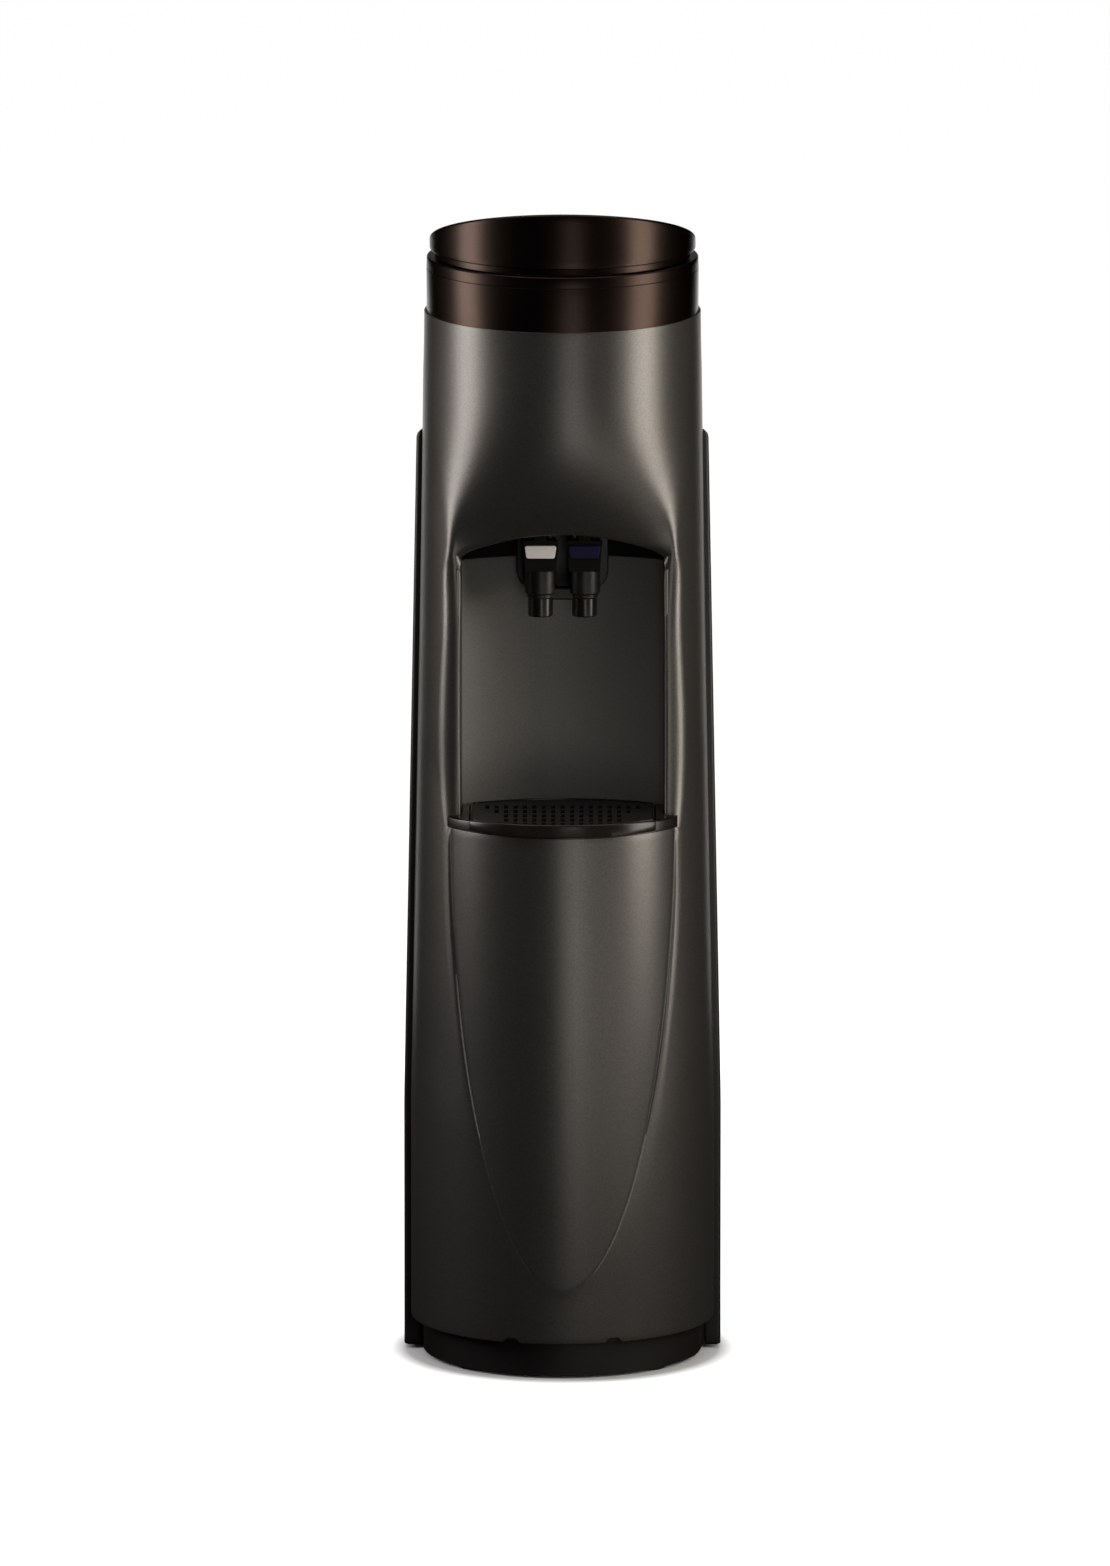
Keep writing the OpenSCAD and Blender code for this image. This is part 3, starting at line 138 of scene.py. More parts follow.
def grid_faces(rows, columns, closed=False):
    """Quads of a grid of points, counted row by row; a closed grid joins its last column to its first."""
    r, c = np.indices((rows - 1, columns if closed else columns - 1))
    right = (c + 1) % columns
    low = r * columns
    high = low + columns
    return np.stack([low + c, low + right, high + right, high + c], -1)


def shader_of(name):
    """A new material with its node tree and its Principled shader."""
    material = bpy.data.materials.new(name)
    material.use_nodes = True
    return material, material.node_tree, material.node_tree.nodes["Principled BSDF"]


def new_node(tree, kind, **values):
    """A new shader node of the given kind, with its inputs set by name; _ in a name stands for a space."""
    node = tree.nodes.new("ShaderNode" + kind)
    for key, value in values.items():
        node.inputs[key.replace("_", " ")].default_value = value
    return node


floor_paint, floor_tree, floor_shader = shader_of("pale_floor")
floor_shader.inputs["Base Color"].default_value = (0.92, 0.92, 0.92, 1)
floor_shader.inputs["Roughness"].default_value = 1.0
floor_shader.inputs["Specular IOR Level"].default_value = 0.0
floor_shader.inputs["Emission Color"].default_value = (1, 1, 1, 1)
floor_place = new_node(floor_tree, "TexCoord")
floor_far = new_node(floor_tree, "VectorMath")
floor_far.operation = "LENGTH"
# Painted light on the floor: no glow within 0.15 m of the axis and nearly full glow from 0.172 m, so only the
# contact shadow shows.
floor_glow = new_node(floor_tree, "MapRange", From_Min=0.15, From_Max=0.172, To_Min=0.0, To_Max=0.9)
floor_tree.links.new(floor_place.outputs["Object"], floor_far.inputs[0])
floor_tree.links.new(floor_far.outputs["Value"], floor_glow.inputs["Value"])
floor_tree.links.new(floor_glow.outputs["Result"], floor_shader.inputs["Emission Strength"])
floor_corners = np.array([[-1, -1, 0], [1, -1, 0], [1, 1, 0], [-1, 1, 0]])
floor = put_mesh("studio_floor", floor_paint, floor_corners * floor_reach / mm, [[0, 1, 2, 3]])
floor.visible_glossy = False
floor.visible_diffuse = False

turn, rise = np.meshgrid(
    np.linspace(0, 2 * np.pi, surround_columns + 1)[:-1], np.linspace(-0.499, 0.499, surround_rows) * np.pi
)
dome = np.stack([np.cos(turn) * np.cos(rise), np.sin(turn) * np.cos(rise), np.sin(rise)], -1)
dome_faces = grid_faces(surround_rows, surround_columns, closed=True)[..., ::-1]
surround_paint, surround_tree, unlit_shader = shader_of("white_surround")
surround_tree.nodes.remove(unlit_shader)
glow = new_node(surround_tree, "Emission", Strength=1.05)
surround_tree.links.new(glow.outputs["Emission"], surround_tree.nodes["Material Output"].inputs["Surface"])
surround = put_mesh("studio_surround", surround_paint, dome * surround_r / mm, dome_faces)
surround.visible_diffuse = False
surround.visible_glossy = False
surround.visible_transmission = False
surround.visible_shadow = False

# The front shell
# The tapered grey casing, one thin moulding in charcoal metallic paint. It reaches round the plinth's
# flange, carries the collar on its top flange and is open behind, where the rear shell closes it.


def in_mm(box):
    """The two corners of a box in metres, as arrays in millimetres."""
    return np.array(box) / mm


shell_low, shell_high = in_mm(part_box("front_shell"))
collar_low, collar_high = in_mm(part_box("top_collar"))
rear_low, rear_high = in_mm(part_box("rear_shell"))
seat_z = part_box("tray_cradle")[0][2] / mm
collar_y = (collar_low[1] + collar_high[1]) / 2
collar_r = (collar_high[0] - collar_low[0]) / 2
collar_forward = 16.5
body_y = collar_y + collar_forward
body_r = (shell_high[0] - shell_low[0]) / 2
shell_top_r = 131.5
shell_wall = 2.6
shell_edge_back = 2.5
plumb_z = 246
taper_round = 0.05
flank_start, flank_end = 1.7, 2.4
seam_step = 0.6
seam_blend_h = 60
wing_blend = 8
wing_blend_h = 110
bottom_z = shell_low[2]
seam_z = shell_high[2]
ledge_gap = 0.3
ledge_z = rear_high[2] + ledge_gap
tongue_half_w = 109
tongue_flare = 2
tongue_flare_h = 80
tongue_middle_z = seat_z + 31
tongue_tip_z = 87
tip_half_w = 30
tip_roll = 3
tip_roll_z = 330
groove_w = 0.8
groove_in = 0.5
groove_depth, groove_deeper = 0.25, 0.55
groove_low_z, groove_high_z = 150, 420
ridge_half_w = 111.8
ridge_middle_z = seat_z + 80
ridge_top_z = seat_z + 375
ridge_narrow = 12.3
ridge_foot = 5.5
ridge_roll = 5.5
# The fold's curve, as small turns and their radii: a wide bend first and then a tight one.
fold_bend = np.radians(np.concatenate([np.full(6, 10.0), np.full(5, 14.4)]))
fold_r = np.concatenate([np.full(6, 14.0), np.full(5, 2.2)])
fold_heading = np.cumsum(fold_bend) - fold_bend / 2
fold_out = np.cumsum(2 * fold_r * np.sin(fold_bend / 2) * np.cos(fold_heading))
fold_in = np.cumsum(2 * fold_r * np.sin(fold_bend / 2) * np.sin(fold_heading))
return_half_w = 96
return_back_y = body_y - 40.5
return_lean = 1.5
hood_r = 266
hood_start_z = seam_z - 50
hood_ridge_in = 0.8
hood_below = 30
hood_round, hood_soft = 6, 50
hood_angle = 1.5
hood_fade_h = 80
lip_z = 812
lip_round = 14
lip_fold = 0.35
lip_end_fold = 0.8
lip_end_drop = 29
lip_fade_w = 40
lip_lift = 0.9
lip_tail_w = 2
arch_r = 235
arch_rise = 1.5
notch_x, notch_half_w, notch_h = 48, 6, 4
notch_angle = 1
round_rings = 5


def soft_max(a, b, k):
    """The larger of two values, with the corner between them rounded over the width k."""
    h = np.clip(k - np.abs(a - b), 0, None)
    return np.maximum(a, b) + h * h / (4 * np.maximum(k, 1e-6))


def between(low, high, v):
    """A straight step from 0 at low to 1 at high."""
    return np.clip((v - low) / (high - low), 0, 1)


def ease(low, high, v):
    """A smooth step from 0 at low to 1 at high."""
    t = between(low, high, v)
    return t * t * (3 - 2 * t)


def drum_angle(x):
    """The angle about the body axis, from the front, at which the collar's drum has the given x."""
    return np.arctan2(x, collar_forward + np.sqrt(collar_r**2 - x**2))


def arch_z(x):
    """Height of the lip: a flat arc that falls from the middle to both sides."""
    return lip_z + arch_rise - arch_r + np.sqrt(arch_r**2 - x**2)


def ridge_x(z):
    """Half width between the ridges: widest at mid alcove, drawn in a little below and more above."""
    below = between(ridge_middle_z, seat_z, z)
    return ridge_half_w - ridge_narrow * ease(ridge_middle_z, ridge_top_z, z) - ridge_foot * below**2


lip_end_x = ridge_x(lip_z - lip_end_drop) + ridge_roll


def lip_share(x):
    """How much of the full fold the lip's edge takes: less in the middle than at the ridges."""
    return lip_fold + (lip_end_fold - lip_fold) * ease(lip_end_x - lip_fade_w, lip_end_x - lip_round, x)


def lip_line(x):
    """Height at which the lip's fold begins: the arch lifted by the fold, and a round corner at each end."""
    corner = np.clip(x - lip_end_x + lip_round, 0, lip_round)
    lifted = arch_z(x) + fold_out[-1] * lip_share(x) * lip_lift
    return lifted - lip_round + np.sqrt(lip_round**2 - corner**2)


def tongue_flaring(z):
    """How much wider the tongue panel grows on each side as it nears the alcove's ridges."""
    return (ridge_x(seat_z) + tongue_flare - tongue_half_w) * ease(seat_z - tongue_flare_h, seat_z, z)


def tongue_x(z):
    """Half width of the tongue panel: a quarter ellipse from the tip that flares to the alcove's ridges."""
    fall = between(tongue_middle_z, tongue_tip_z, z)
    below = tongue_half_w * np.sqrt(1 - fall**2) + tongue_flaring(z)
    return np.where(z < seat_z, below, ridge_x(z))


def shell_radius(theta, z):
    """Distance of the casing from the body axis: a cone for the wings, a plumb drum for the tongue and the
    top, a soft join of both between them, and a rolled step and a fine groove round the tongue."""
    taper = between(plumb_z, seam_z, z)
    cone = body_r - (body_r - shell_top_r) * soft_max(taper, 0 * taper, taper_round)
    drum = collar_forward * np.cos(theta) + np.sqrt(collar_r**2 - (collar_forward * np.sin(theta)) ** 2)
    beside = (1 - ease(flank_start, flank_end, np.abs(theta))) * ease(seam_z - seam_blend_h, seam_z, z)
    cone = cone + (np.minimum(cone, drum + seam_step) - cone) * beside
    upper = soft_max(cone, drum, wing_blend * ease(seat_z, seat_z + wing_blend_h, z))
    x = drum * np.sin(theta)
    wide = tongue_half_w + tongue_flaring(z)
    deep = tongue_middle_z - tongue_tip_z
    fall = np.maximum(tongue_middle_z - z, 0)
    reach = np.sqrt((x / wide) ** 2 + (fall / deep) ** 2)
    slope = np.sqrt((x / wide**2) ** 2 + (fall / deep**2) ** 2)
    outside = reach * (reach - 1) / np.maximum(slope, 1e-6)
    roll_w = ridge_roll * (1 + tip_roll * (1 - ease(tongue_tip_z, tip_roll_z, z)))
    roll = np.sqrt(1 - (1 - np.clip(outside / roll_w, 0, 1)) ** 2)
    groove = groove_depth + groove_deeper * ease(groove_low_z, groove_high_z, z)
    groove = groove * np.exp(-(((outside + groove_in) / groove_w) ** 2))
    lower = drum + (cone - drum) * roll - groove
    return np.where(z > seat_z + 0.01, upper, lower)


def hood_recess(x, z):
    """How far the hood lies behind the drum: between the ridges the round front is flattened by a share that
    grows downwards on a large arc, and the corner left at each ridge is rounded, less so further down."""
    drop = np.clip(hood_start_z - z, 0, hood_start_z - lip_z + hood_below)
    middle = hood_r - np.sqrt(hood_r**2 - drop**2)
    ridge_depth = np.sqrt(collar_r**2 - (ridge_x(z) + ridge_roll - hood_ridge_in) ** 2)
    share = middle / (collar_r - ridge_depth)
    beyond = np.sqrt(np.maximum(collar_r**2 - x**2, 0)) - ridge_depth
    return share * soft_max(beyond, 0 * beyond, hood_round + hood_soft * (1 - share) ** 2)


def fold_line(z):
    """How much of the full fold the alcove's edges take at each height, as far as the returns leave room, and
    where it ends in plan."""
    theta = drum_angle(ridge_x(z) + ridge_roll)
    rho = shell_radius(theta, np.maximum(z, seat_z + 1))
    width = fold_out[-1] * np.cos(theta) + fold_in[-1] * np.sin(theta)
    share = (rho * np.sin(theta) - return_half_w - return_lean) / width
    inward = rho - share * fold_in[-1]
    around = share * fold_out[-1]
    x = inward * np.sin(theta) - around * np.cos(theta)
    return share, x, body_y - inward * np.cos(theta) - around * np.sin(theta)


def unit(vectors):
    """The vectors scaled to length 1."""
    return vectors / np.maximum(np.linalg.norm(vectors, axis=1, keepdims=True), 1e-12)


def surface_normals(points, faces):
    """Unit normals at the points, each the sum of its faces' areas."""
    a, b, c, d = (points[faces[:, i]] for i in range(4))
    area = np.cross(c - a, d - b)
    normals = np.zeros_like(points)
    for i in range(4):
        np.add.at(normals, faces[:, i], area)
    return unit(normals)


def walled(points, faces, thickness, fold=None, lead=None, tail=None):
    """A sheet given a wall: its points are copied inwards along the normals, and each open edge is closed by
    a half round. Where a fold share is given, the edge curls along the fold's curve instead, in the lead's
    direction where there is one, and where a tail is given it runs on straight to that depth."""
    faces = faces.reshape(-1, 4)
    normals = surface_normals(points, faces)
    count = len(points)
    edges = np.concatenate([faces[:, [i, (i + 1) % 4]] for i in range(4)])
    codes = edges[:, 0].astype(np.int64) * count + edges[:, 1]
    back_codes = edges[:, 1].astype(np.int64) * count + edges[:, 0]
    edges = edges[~np.isin(codes, back_codes)]
    rim = np.unique(edges)
    rank = np.zeros(count, np.int64)
    rank[rim] = np.arange(len(rim))
    along = unit(points[edges[:, 1]] - points[edges[:, 0]])
    away = np.zeros_like(points)
    for i in range(2):
        np.add.at(away, edges[:, i], np.cross(along, normals[edges[:, i]]))
    away = unit(away[rim])
    inner = points - thickness * normals
    rings = round_rings if fold is None else len(fold_out) + 1
    turn = np.arange(1, rings + 1)[:, None, None] / (rings + 1) * np.pi
    curl = points[rim] + thickness / 2 * (np.sin(turn) * away - (1 - np.cos(turn)) * normals[rim])
    if fold is not None:
        away = np.where(np.isfinite(lead[rim]), lead[rim], away)
        share = fold[rim][:, None]
        bent = fold_out[:, None, None] * away - fold_in[:, None, None] * normals[rim]
        bent = points[rim] + share * bent
        end_x = np.sign(bent[-1, :, 0]) * np.minimum(np.abs(bent[-1, :, 0]), return_half_w)
        straight = np.stack([end_x, tail[rim], bent[-1, :, 2]], -1)
        last = np.where(np.isfinite(tail[rim])[:, None], straight, (bent[-1] + inner[rim]) / 2)
        curl = np.where(share > 0, np.concatenate([bent, last[None]]), curl)
    start = 2 * count + np.arange(rings)[:, None] * len(rim)
    chain = [edges] + [start[k] + rank[edges] for k in range(rings)] + [edges + count]
    strips = [
        np.stack([chain[k][:, 1], chain[k][:, 0], chain[k + 1][:, 0], chain[k + 1][:, 1]], -1)
        for k in range(rings + 1)
    ]
    layers = [points, inner, curl.reshape(-1, 3)]
    return np.concatenate(layers), np.concatenate([faces, faces[:, ::-1] + count] + strips)


def stations(stops, steps):
    """Values from stop to stop, each stretch divided into its own number of even steps."""
    runs = [np.linspace(a, b, n + 1)[1:] for a, b, n in zip(stops, stops[1:], steps)]
    return np.concatenate([stops[:1], *runs])


# Columns run from the back round the left, the front and the right: close together at the ridges.
n_middle, n_roll, n_wing, n_back = 26, 8, 24, 22
n_front = n_middle + n_roll
crowding = 1.7
across = 1 - (1 - np.linspace(0, 1, n_middle + 1)) ** crowding
wing = np.linspace(0, 1, n_wing + 1) ** crowding
behind = np.linspace(0, 1, n_back + 1)
edge_angle = math.acos(-shell_edge_back / body_r)
n_foot, n_tip, n_tongue, n_alcove, n_hood, n_top = 8, 21, 61, 40, 30, 26
tip_low_z = tongue_tip_z - 5
tip_high_z = 135
seat_row = n_foot + n_tip + n_tongue
lip_row = seat_row + n_alcove
lip_end_z = lip_line(lip_end_x)
side_z = stations(
    [bottom_z, tip_low_z, tip_high_z, seat_z, lip_end_z, ledge_z, seam_z],
    [n_foot, n_tip, n_tongue, n_alcove, n_hood, n_top],
)[:, None]
inner_x = np.maximum(tongue_x(side_z), tip_half_w)
inner_x[lip_row] = lip_end_x - ridge_roll
front_x = np.concatenate([inner_x * across[1:], inner_x + ridge_roll * np.linspace(0, 1, n_roll + 1)[1:]], 1)
front_angle = drum_angle(front_x)
outer_angle = front_angle[:, -1:]
half = np.concatenate([
    front_angle, outer_angle + (edge_angle - outer_angle) * wing[1:],
    (edge_angle + (np.pi - edge_angle) * behind[1:-1]) * np.ones_like(inner_x),
], 1)
angles = np.concatenate([-np.pi * np.ones_like(inner_x), -half[:, ::-1], 0 * inner_x, half], 1)
columns = angles.shape[1]
lip_x = np.full(half.shape[1], lip_end_x)
lip_x[:front_x.shape[1]] = front_x[lip_row]
lip_x = np.concatenate([[lip_end_x], lip_x[::-1], [0], lip_x])
arch = lip_line(lip_x)
shell_z = np.broadcast_to(side_z, angles.shape).copy()
up = np.linspace(0, 1, n_alcove + 1)[:, None]
shell_z[seat_row:lip_row + 1] = seat_z + (arch - seat_z) * up
up = np.linspace(0, 1, n_hood + 1)[:, None]
shell_z[lip_row:lip_row + n_hood + 1] = arch + (ledge_z - arch) * up
rho = shell_radius(angles, shell_z)
shell = np.stack([rho * np.sin(angles), body_y - rho * np.cos(angles), shell_z], -1)
fade = ease(lip_end_z - hood_fade_h, lip_end_z, shell_z)
hooded = np.where(np.arange(len(side_z))[:, None] >= lip_row, 1, fade)
shell[..., 1] += np.where(np.abs(angles) < hood_angle, hooded * hood_recess(shell[..., 0], shell_z), 0)
notch = np.abs(np.abs(shell[0, :, 0]) - notch_x) < notch_half_w
shell[0, :, 2] += np.where(notch & (np.abs(angles[0]) < notch_angle), notch_h, 0)
row, column = np.indices((len(side_z) - 1, columns))
reach = np.arange(columns) - columns // 2
open_column = (reach >= -n_front) & (reach < n_front)
back_column = (reach < -n_front - n_wing) | (reach >= n_front + n_wing)
alcove_row = (row >= seat_row) & (row < lip_row)
kept = ~(alcove_row & open_column[column]) & ~((row < lip_row + n_hood) & back_column[column])
shell_faces = grid_faces(len(side_z), columns, closed=True)[kept]
fold = np.zeros(angles.shape)
fold[lip_row] = np.where(np.abs(reach) <= n_front, lip_share(lip_x), 0)
fold_lead = np.full(shell.shape, np.nan)
fold_tail = np.full(angles.shape, np.nan)
lip_tail = (fold[lip_row] > 0) & (lip_x > lip_end_x - lip_tail_w)
fold_tail[lip_row] = np.where(lip_tail, return_back_y, np.nan)
for side in (-1, 1):
    edge = columns // 2 + side * n_front
    fold[seat_row:lip_row, edge] = fold_line(shell_z[seat_row:lip_row, edge])[0]
    turn = np.abs(angles[seat_row, edge])
    fold_lead[seat_row, edge] = (-side * np.cos(turn), -np.sin(turn), 0)
    fold_tail[seat_row:lip_row, edge] = return_back_y
casing = walled(
    shell.reshape(-1, 3), shell_faces, shell_wall, fold.ravel(), fold_lead.reshape(-1, 3), fold_tail.ravel()
)


def textured(name, textures, colour, shades, stops, gloss, relief, metal=0, specular=0.5, stretch=(1, 1, 1)):
    """A material driven by three textures on the object's coordinates, each given by its kind, scale, detail
    and output: the first runs from one shade of the colour to another between two stops, the second moves the
    roughness within the gloss range, and the third is a relief of the given strength and depth."""
    material, tree, shader = shader_of(name)
    place = new_node(tree, "TexCoord")
    spread = new_node(tree, "Mapping", Scale=stretch)
    ramp = new_node(tree, "ValToRGB")
    for stop, position, shade in zip(ramp.color_ramp.elements, stops, shades):
        stop.position = position
        stop.color = (*[v * shade for v in colour], 1)
    sheen = new_node(tree, "MapRange", To_Min=gloss[0], To_Max=gloss[1])
    bump = new_node(tree, "Bump", Strength=relief[0], Distance=relief[1])
    link = tree.links.new
    link(place.outputs["Object"], spread.inputs["Vector"])
    targets = (ramp.inputs["Fac"], sheen.inputs["Value"], bump.inputs["Height"])
    for (kind, scale, detail, output), target in zip(textures, targets):
        texture = new_node(tree, "Tex" + kind, Scale=scale, Detail=detail)
        link(spread.outputs["Vector"], texture.inputs["Vector"])
        link(texture.outputs[output], target)
    link(ramp.outputs["Color"], shader.inputs["Base Color"])
    link(sheen.outputs["Result"], shader.inputs["Roughness"])
    link(bump.outputs["Normal"], shader.inputs["Normal"])
    shader.inputs["Metallic"].default_value = metal
    shader.inputs["Specular IOR Level"].default_value = specular
    return material


def flake_paint(name, colour, roughness, metal, flake):
    """Satin metallic paint: fine flakes in the colour, clouds in the gloss and a faint orange peel."""
    textures = (("Voronoi", 1600, 0, "Color"), ("Noise", 14, 4, "Fac"), ("Noise", 420, 2, "Fac"))
    gloss = (roughness - 0.03, roughness + 0.03)
    return textured(name, textures, colour, (1 - flake, 1 + flake), (0, 1), gloss, (0.05, 0.0004), metal)


charcoal = flake_paint("charcoal_metallic", (0.141, 0.132, 0.122), 0.36, 0.82, 0.25)
front_shell = put_mesh("front_casing", charcoal, *casing)
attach(front_shell, "cabinet")
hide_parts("front_shell")

# The collar
# A moulded ring in a gloss brown-black metallic finish, glued on the casing's flange. A hairline runs
# round it near the top, and its narrower neck leaves the shadow groove under the lid.
collar_z = collar_low[2]
collar_top_z = collar_z + 54
collar_wall = 3
collar_flange = 20
collar_steps = 192
line_z = collar_top_z - 11
line_half_h = 0.4
line_depth = 0.5
line_round = 0.1
collar_round, collar_top_round = 0.8, 1.6
collar_draft, collar_top_draft = 0.2, 0.4
collar_in = collar_r - collar_wall
flange_in = collar_r - collar_flange
neck_r = 122
neck_in = 116


def ring_profile(corners, steps=5):
    """A closed outline through (radius or x, height, corner radius) points, its corners rounded by arcs."""
    p = np.array([c[:2] for c in corners], float)
    r = np.array([c[2] for c in corners], float)[:, None]
    before = unit(np.roll(p, 1, 0) - p)
    after = unit(np.roll(p, -1, 0) - p)
    half_turn = np.arccos(np.clip((before * after).sum(1, keepdims=True), -1, 1)) / 2
    middle = p + unit(before + after) * r / np.sin(half_turn)
    first = p + before * r / np.tan(half_turn) - middle
    last = p + after * r / np.tan(half_turn) - middle
    t = np.linspace(0, 1, steps)[None, :, None]
    bow = first[:, None] * (1 - t) + last[:, None] * t
    bow *= r[:, None] / np.maximum(np.linalg.norm(bow, axis=2, keepdims=True), 1e-9)
    return (middle[:, None] + bow).reshape(-1, 2)


def turned(profile, centre, steps):
    """A closed outline of (radius, height) spun about the upright axis through centre."""
    a = np.linspace(0, 2 * np.pi, steps + 1)[:-1]
    loop = np.concatenate([profile, profile[:1]])
    x = centre[0] + loop[:, :1] * np.cos(a)
    y = centre[1] + loop[:, :1] * np.sin(a)
    z = np.broadcast_to(loop[:, 1:], x.shape)
    points = np.stack([x, y, z], -1)[:-1].reshape(-1, 3)
    faces = grid_faces(len(loop), steps, closed=True).reshape(-1, 4) % len(points)
    return points, faces


collar_profile = ring_profile([
    (collar_r - collar_draft, collar_z, collar_round), (collar_r, line_z - line_half_h, line_round),
    (collar_r - line_depth, line_z, line_round), (collar_r, line_z + line_half_h, line_round),
    (collar_r - collar_top_draft, collar_top_z, collar_top_round), (neck_r, collar_top_z, collar_round),
    (neck_r, collar_high[2], collar_round), (neck_in, collar_high[2], collar_round),
    (neck_in, collar_top_z - collar_wall, collar_round),
    (collar_in, collar_top_z - collar_wall, collar_round),
    (collar_in, collar_z + collar_wall, collar_round),
    (flange_in, collar_z + collar_wall, collar_round), (flange_in, collar_z, collar_round),
])
brown_gloss = flake_paint("brown_black_metallic", (0.040, 0.027, 0.022), 0.3, 1.0, 0.15)
collar = put_mesh("top_collar_ring", brown_gloss, *turned(collar_profile, (0, collar_y), collar_steps))
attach(collar, "cabinet")
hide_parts("top_collar")

# The lid
# A wedge that lifts off the collar's neck: its wall is tall in front and low behind, and its top falls
# to the rear in one plane that levels out. Moulded, and finished like the collar.
lid_low, lid_high = in_mm(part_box("lid"))
lid_r = (lid_high[0] - lid_low[0]) / 2
lid_slope = math.tan(math.radians(18.3))
lid_side_z = lid_low[2] + 12
lid_flat_z = lid_low[2] + 6
lid_level_blend = 8
lid_round = 3.5
lid_wall = 2.6
lid_gap = 1.3
lid_n = 97


def lid_top_z(y):
    """Height of the lid's top: a plane that falls to the rear, rounded into a level stretch."""
    return soft_max(lid_side_z + lid_slope * (collar_y - y), lid_flat_z + 0 * y, lid_level_blend)


u, v = np.meshgrid(np.linspace(-1, 1, lid_n), np.linspace(-1, 1, lid_n))
ring = np.maximum(np.abs(u), np.abs(v))
wide = np.abs(u) >= np.abs(v)
lead = np.where(wide, u, v)
share = np.where(wide, v, u) / np.where(lead == 0, 1, lead)
swing = np.where(wide, share * np.pi / 4, np.pi / 2 - share * np.pi / 4)
swing = swing + np.where(lead < 0, np.pi, 0)
top_share, round_share = 0.70, 0.86
bend = between(top_share, round_share, ring) * np.pi / 2
lid_rho = (lid_r - lid_round) * np.clip(ring / top_share, 0, 1) + lid_round * np.sin(bend)
lid_x = lid_rho * np.cos(swing)
lid_y = collar_y + lid_rho * np.sin(swing)
shoulder = lid_top_z(lid_y) - lid_round * (1 - np.cos(bend))
fall = between(round_share, 1, ring)
lid_z = shoulder + (lid_low[2] + lid_gap - shoulder) * fall
lid_points = np.stack([lid_x, lid_y, lid_z], -1).reshape(-1, 3)
lid = put_mesh("wedge_lid", brown_gloss, *walled(lid_points, grid_faces(lid_n, lid_n), lid_wall))
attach(lid, "lid_body")
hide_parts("lid")

# The alcove liner
# A bent sheet behind the cups, in the casing's paint made lighter and more diffuse, a lit copy that paints
# light into
# the recess: a hollow back wall and two slanted returns that tuck in behind the casing's rolled ridges.
liner_low, liner_high = in_mm(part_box("alcove_liner"))
liner_face_r = 190.5
liner_outer_r = 193
liner_set_back = 8
liner_axis_y = body_y - liner_set_back - liner_outer_r
liner_half_w = 97
liner_corner_reach = 6
liner_corner_round = 5
liner_behind = 1.0
liner_wall = 2.2
liner_seat_gap = 0.1
liner_top_gap = 1.2
liner_rows, liner_columns = 60, 39
liner_wall_share = 0.78
liner_corner_y = liner_axis_y + math.sqrt(liner_face_r**2 - liner_half_w**2)


def soft_min(a, b, k):
    """The smaller of two values, with the corner between them rounded over the width k."""
    return -soft_max(-a, -b, k)


def liner_y(x, edge_x, edge_y):
    """The liner in plan: a hollow arc for the back wall, straight slanted returns and rounded corners."""
    x = np.abs(x)
    slant = (liner_corner_y - edge_y) / (edge_x - liner_half_w)
    inside = np.minimum(x, liner_half_w + liner_corner_reach)
    back_wall = liner_axis_y + np.sqrt(liner_face_r**2 - inside**2)
    return soft_min(back_wall, liner_corner_y - slant * (x - liner_half_w), liner_corner_round)


up = np.linspace(0, 1, liner_rows)[:, None]
across = stations([0, liner_wall_share, 1], [liner_columns, liner_columns])
across = np.concatenate([-across[:0:-1], across])
liner_foot_z = liner_low[2] + liner_seat_gap
liner_z = liner_foot_z + (liner_high[2] - liner_low[2] - liner_seat_gap - liner_top_gap) * up
edge_x, edge_y = fold_line(liner_z)[1:]
liner_x = across * (edge_x + liner_behind)
liner_points = np.stack([
    liner_x, liner_y(liner_x, edge_x + liner_behind, edge_y), np.broadcast_to(liner_z, liner_x.shape)
], -1).reshape(-1, 3)
lining = walled(liner_points, grid_faces(*liner_x.shape), liner_wall)
# A lighter copy of the casing's charcoal: painted light on the recessed back wall.
lightened_charcoal = flake_paint("lightened_charcoal", (0.190, 0.180, 0.163), 0.55, 0.42, 0.2)
liner = put_mesh("alcove_lining", lightened_charcoal, *lining)
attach(liner, "cabinet")
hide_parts("alcove_liner")

# The rear shell
# A satin black moulding that closes the casing's back and is a little wider: returns at its front edges,
# round rear corners, a roof that falls to the rear and a large window over the cooling grid.
rear_half_w = (rear_high[0] - rear_low[0]) / 2
rear_taper = 12.8
rear_front_y = rear_low[1]
rear_back_y = rear_high[1]
rear_wall = 3
rear_return = 14
rear_front_round = 3.6
rear_corner_round = 24
rear_shoulder = 10
rear_fall = 0.2
rear_hole_r = body_r - 21
rear_foot_gap = 1.5
window_half_w = 112
window_low_z = 48
window_top_z = rear_high[2] - 37
n_window_half, n_pillar, n_quarter, n_side, n_return = 30, 4, 10, 30, 5
n_sill, n_window, n_head, n_shoulder, n_roof = 7, 59, 5, 9, 8


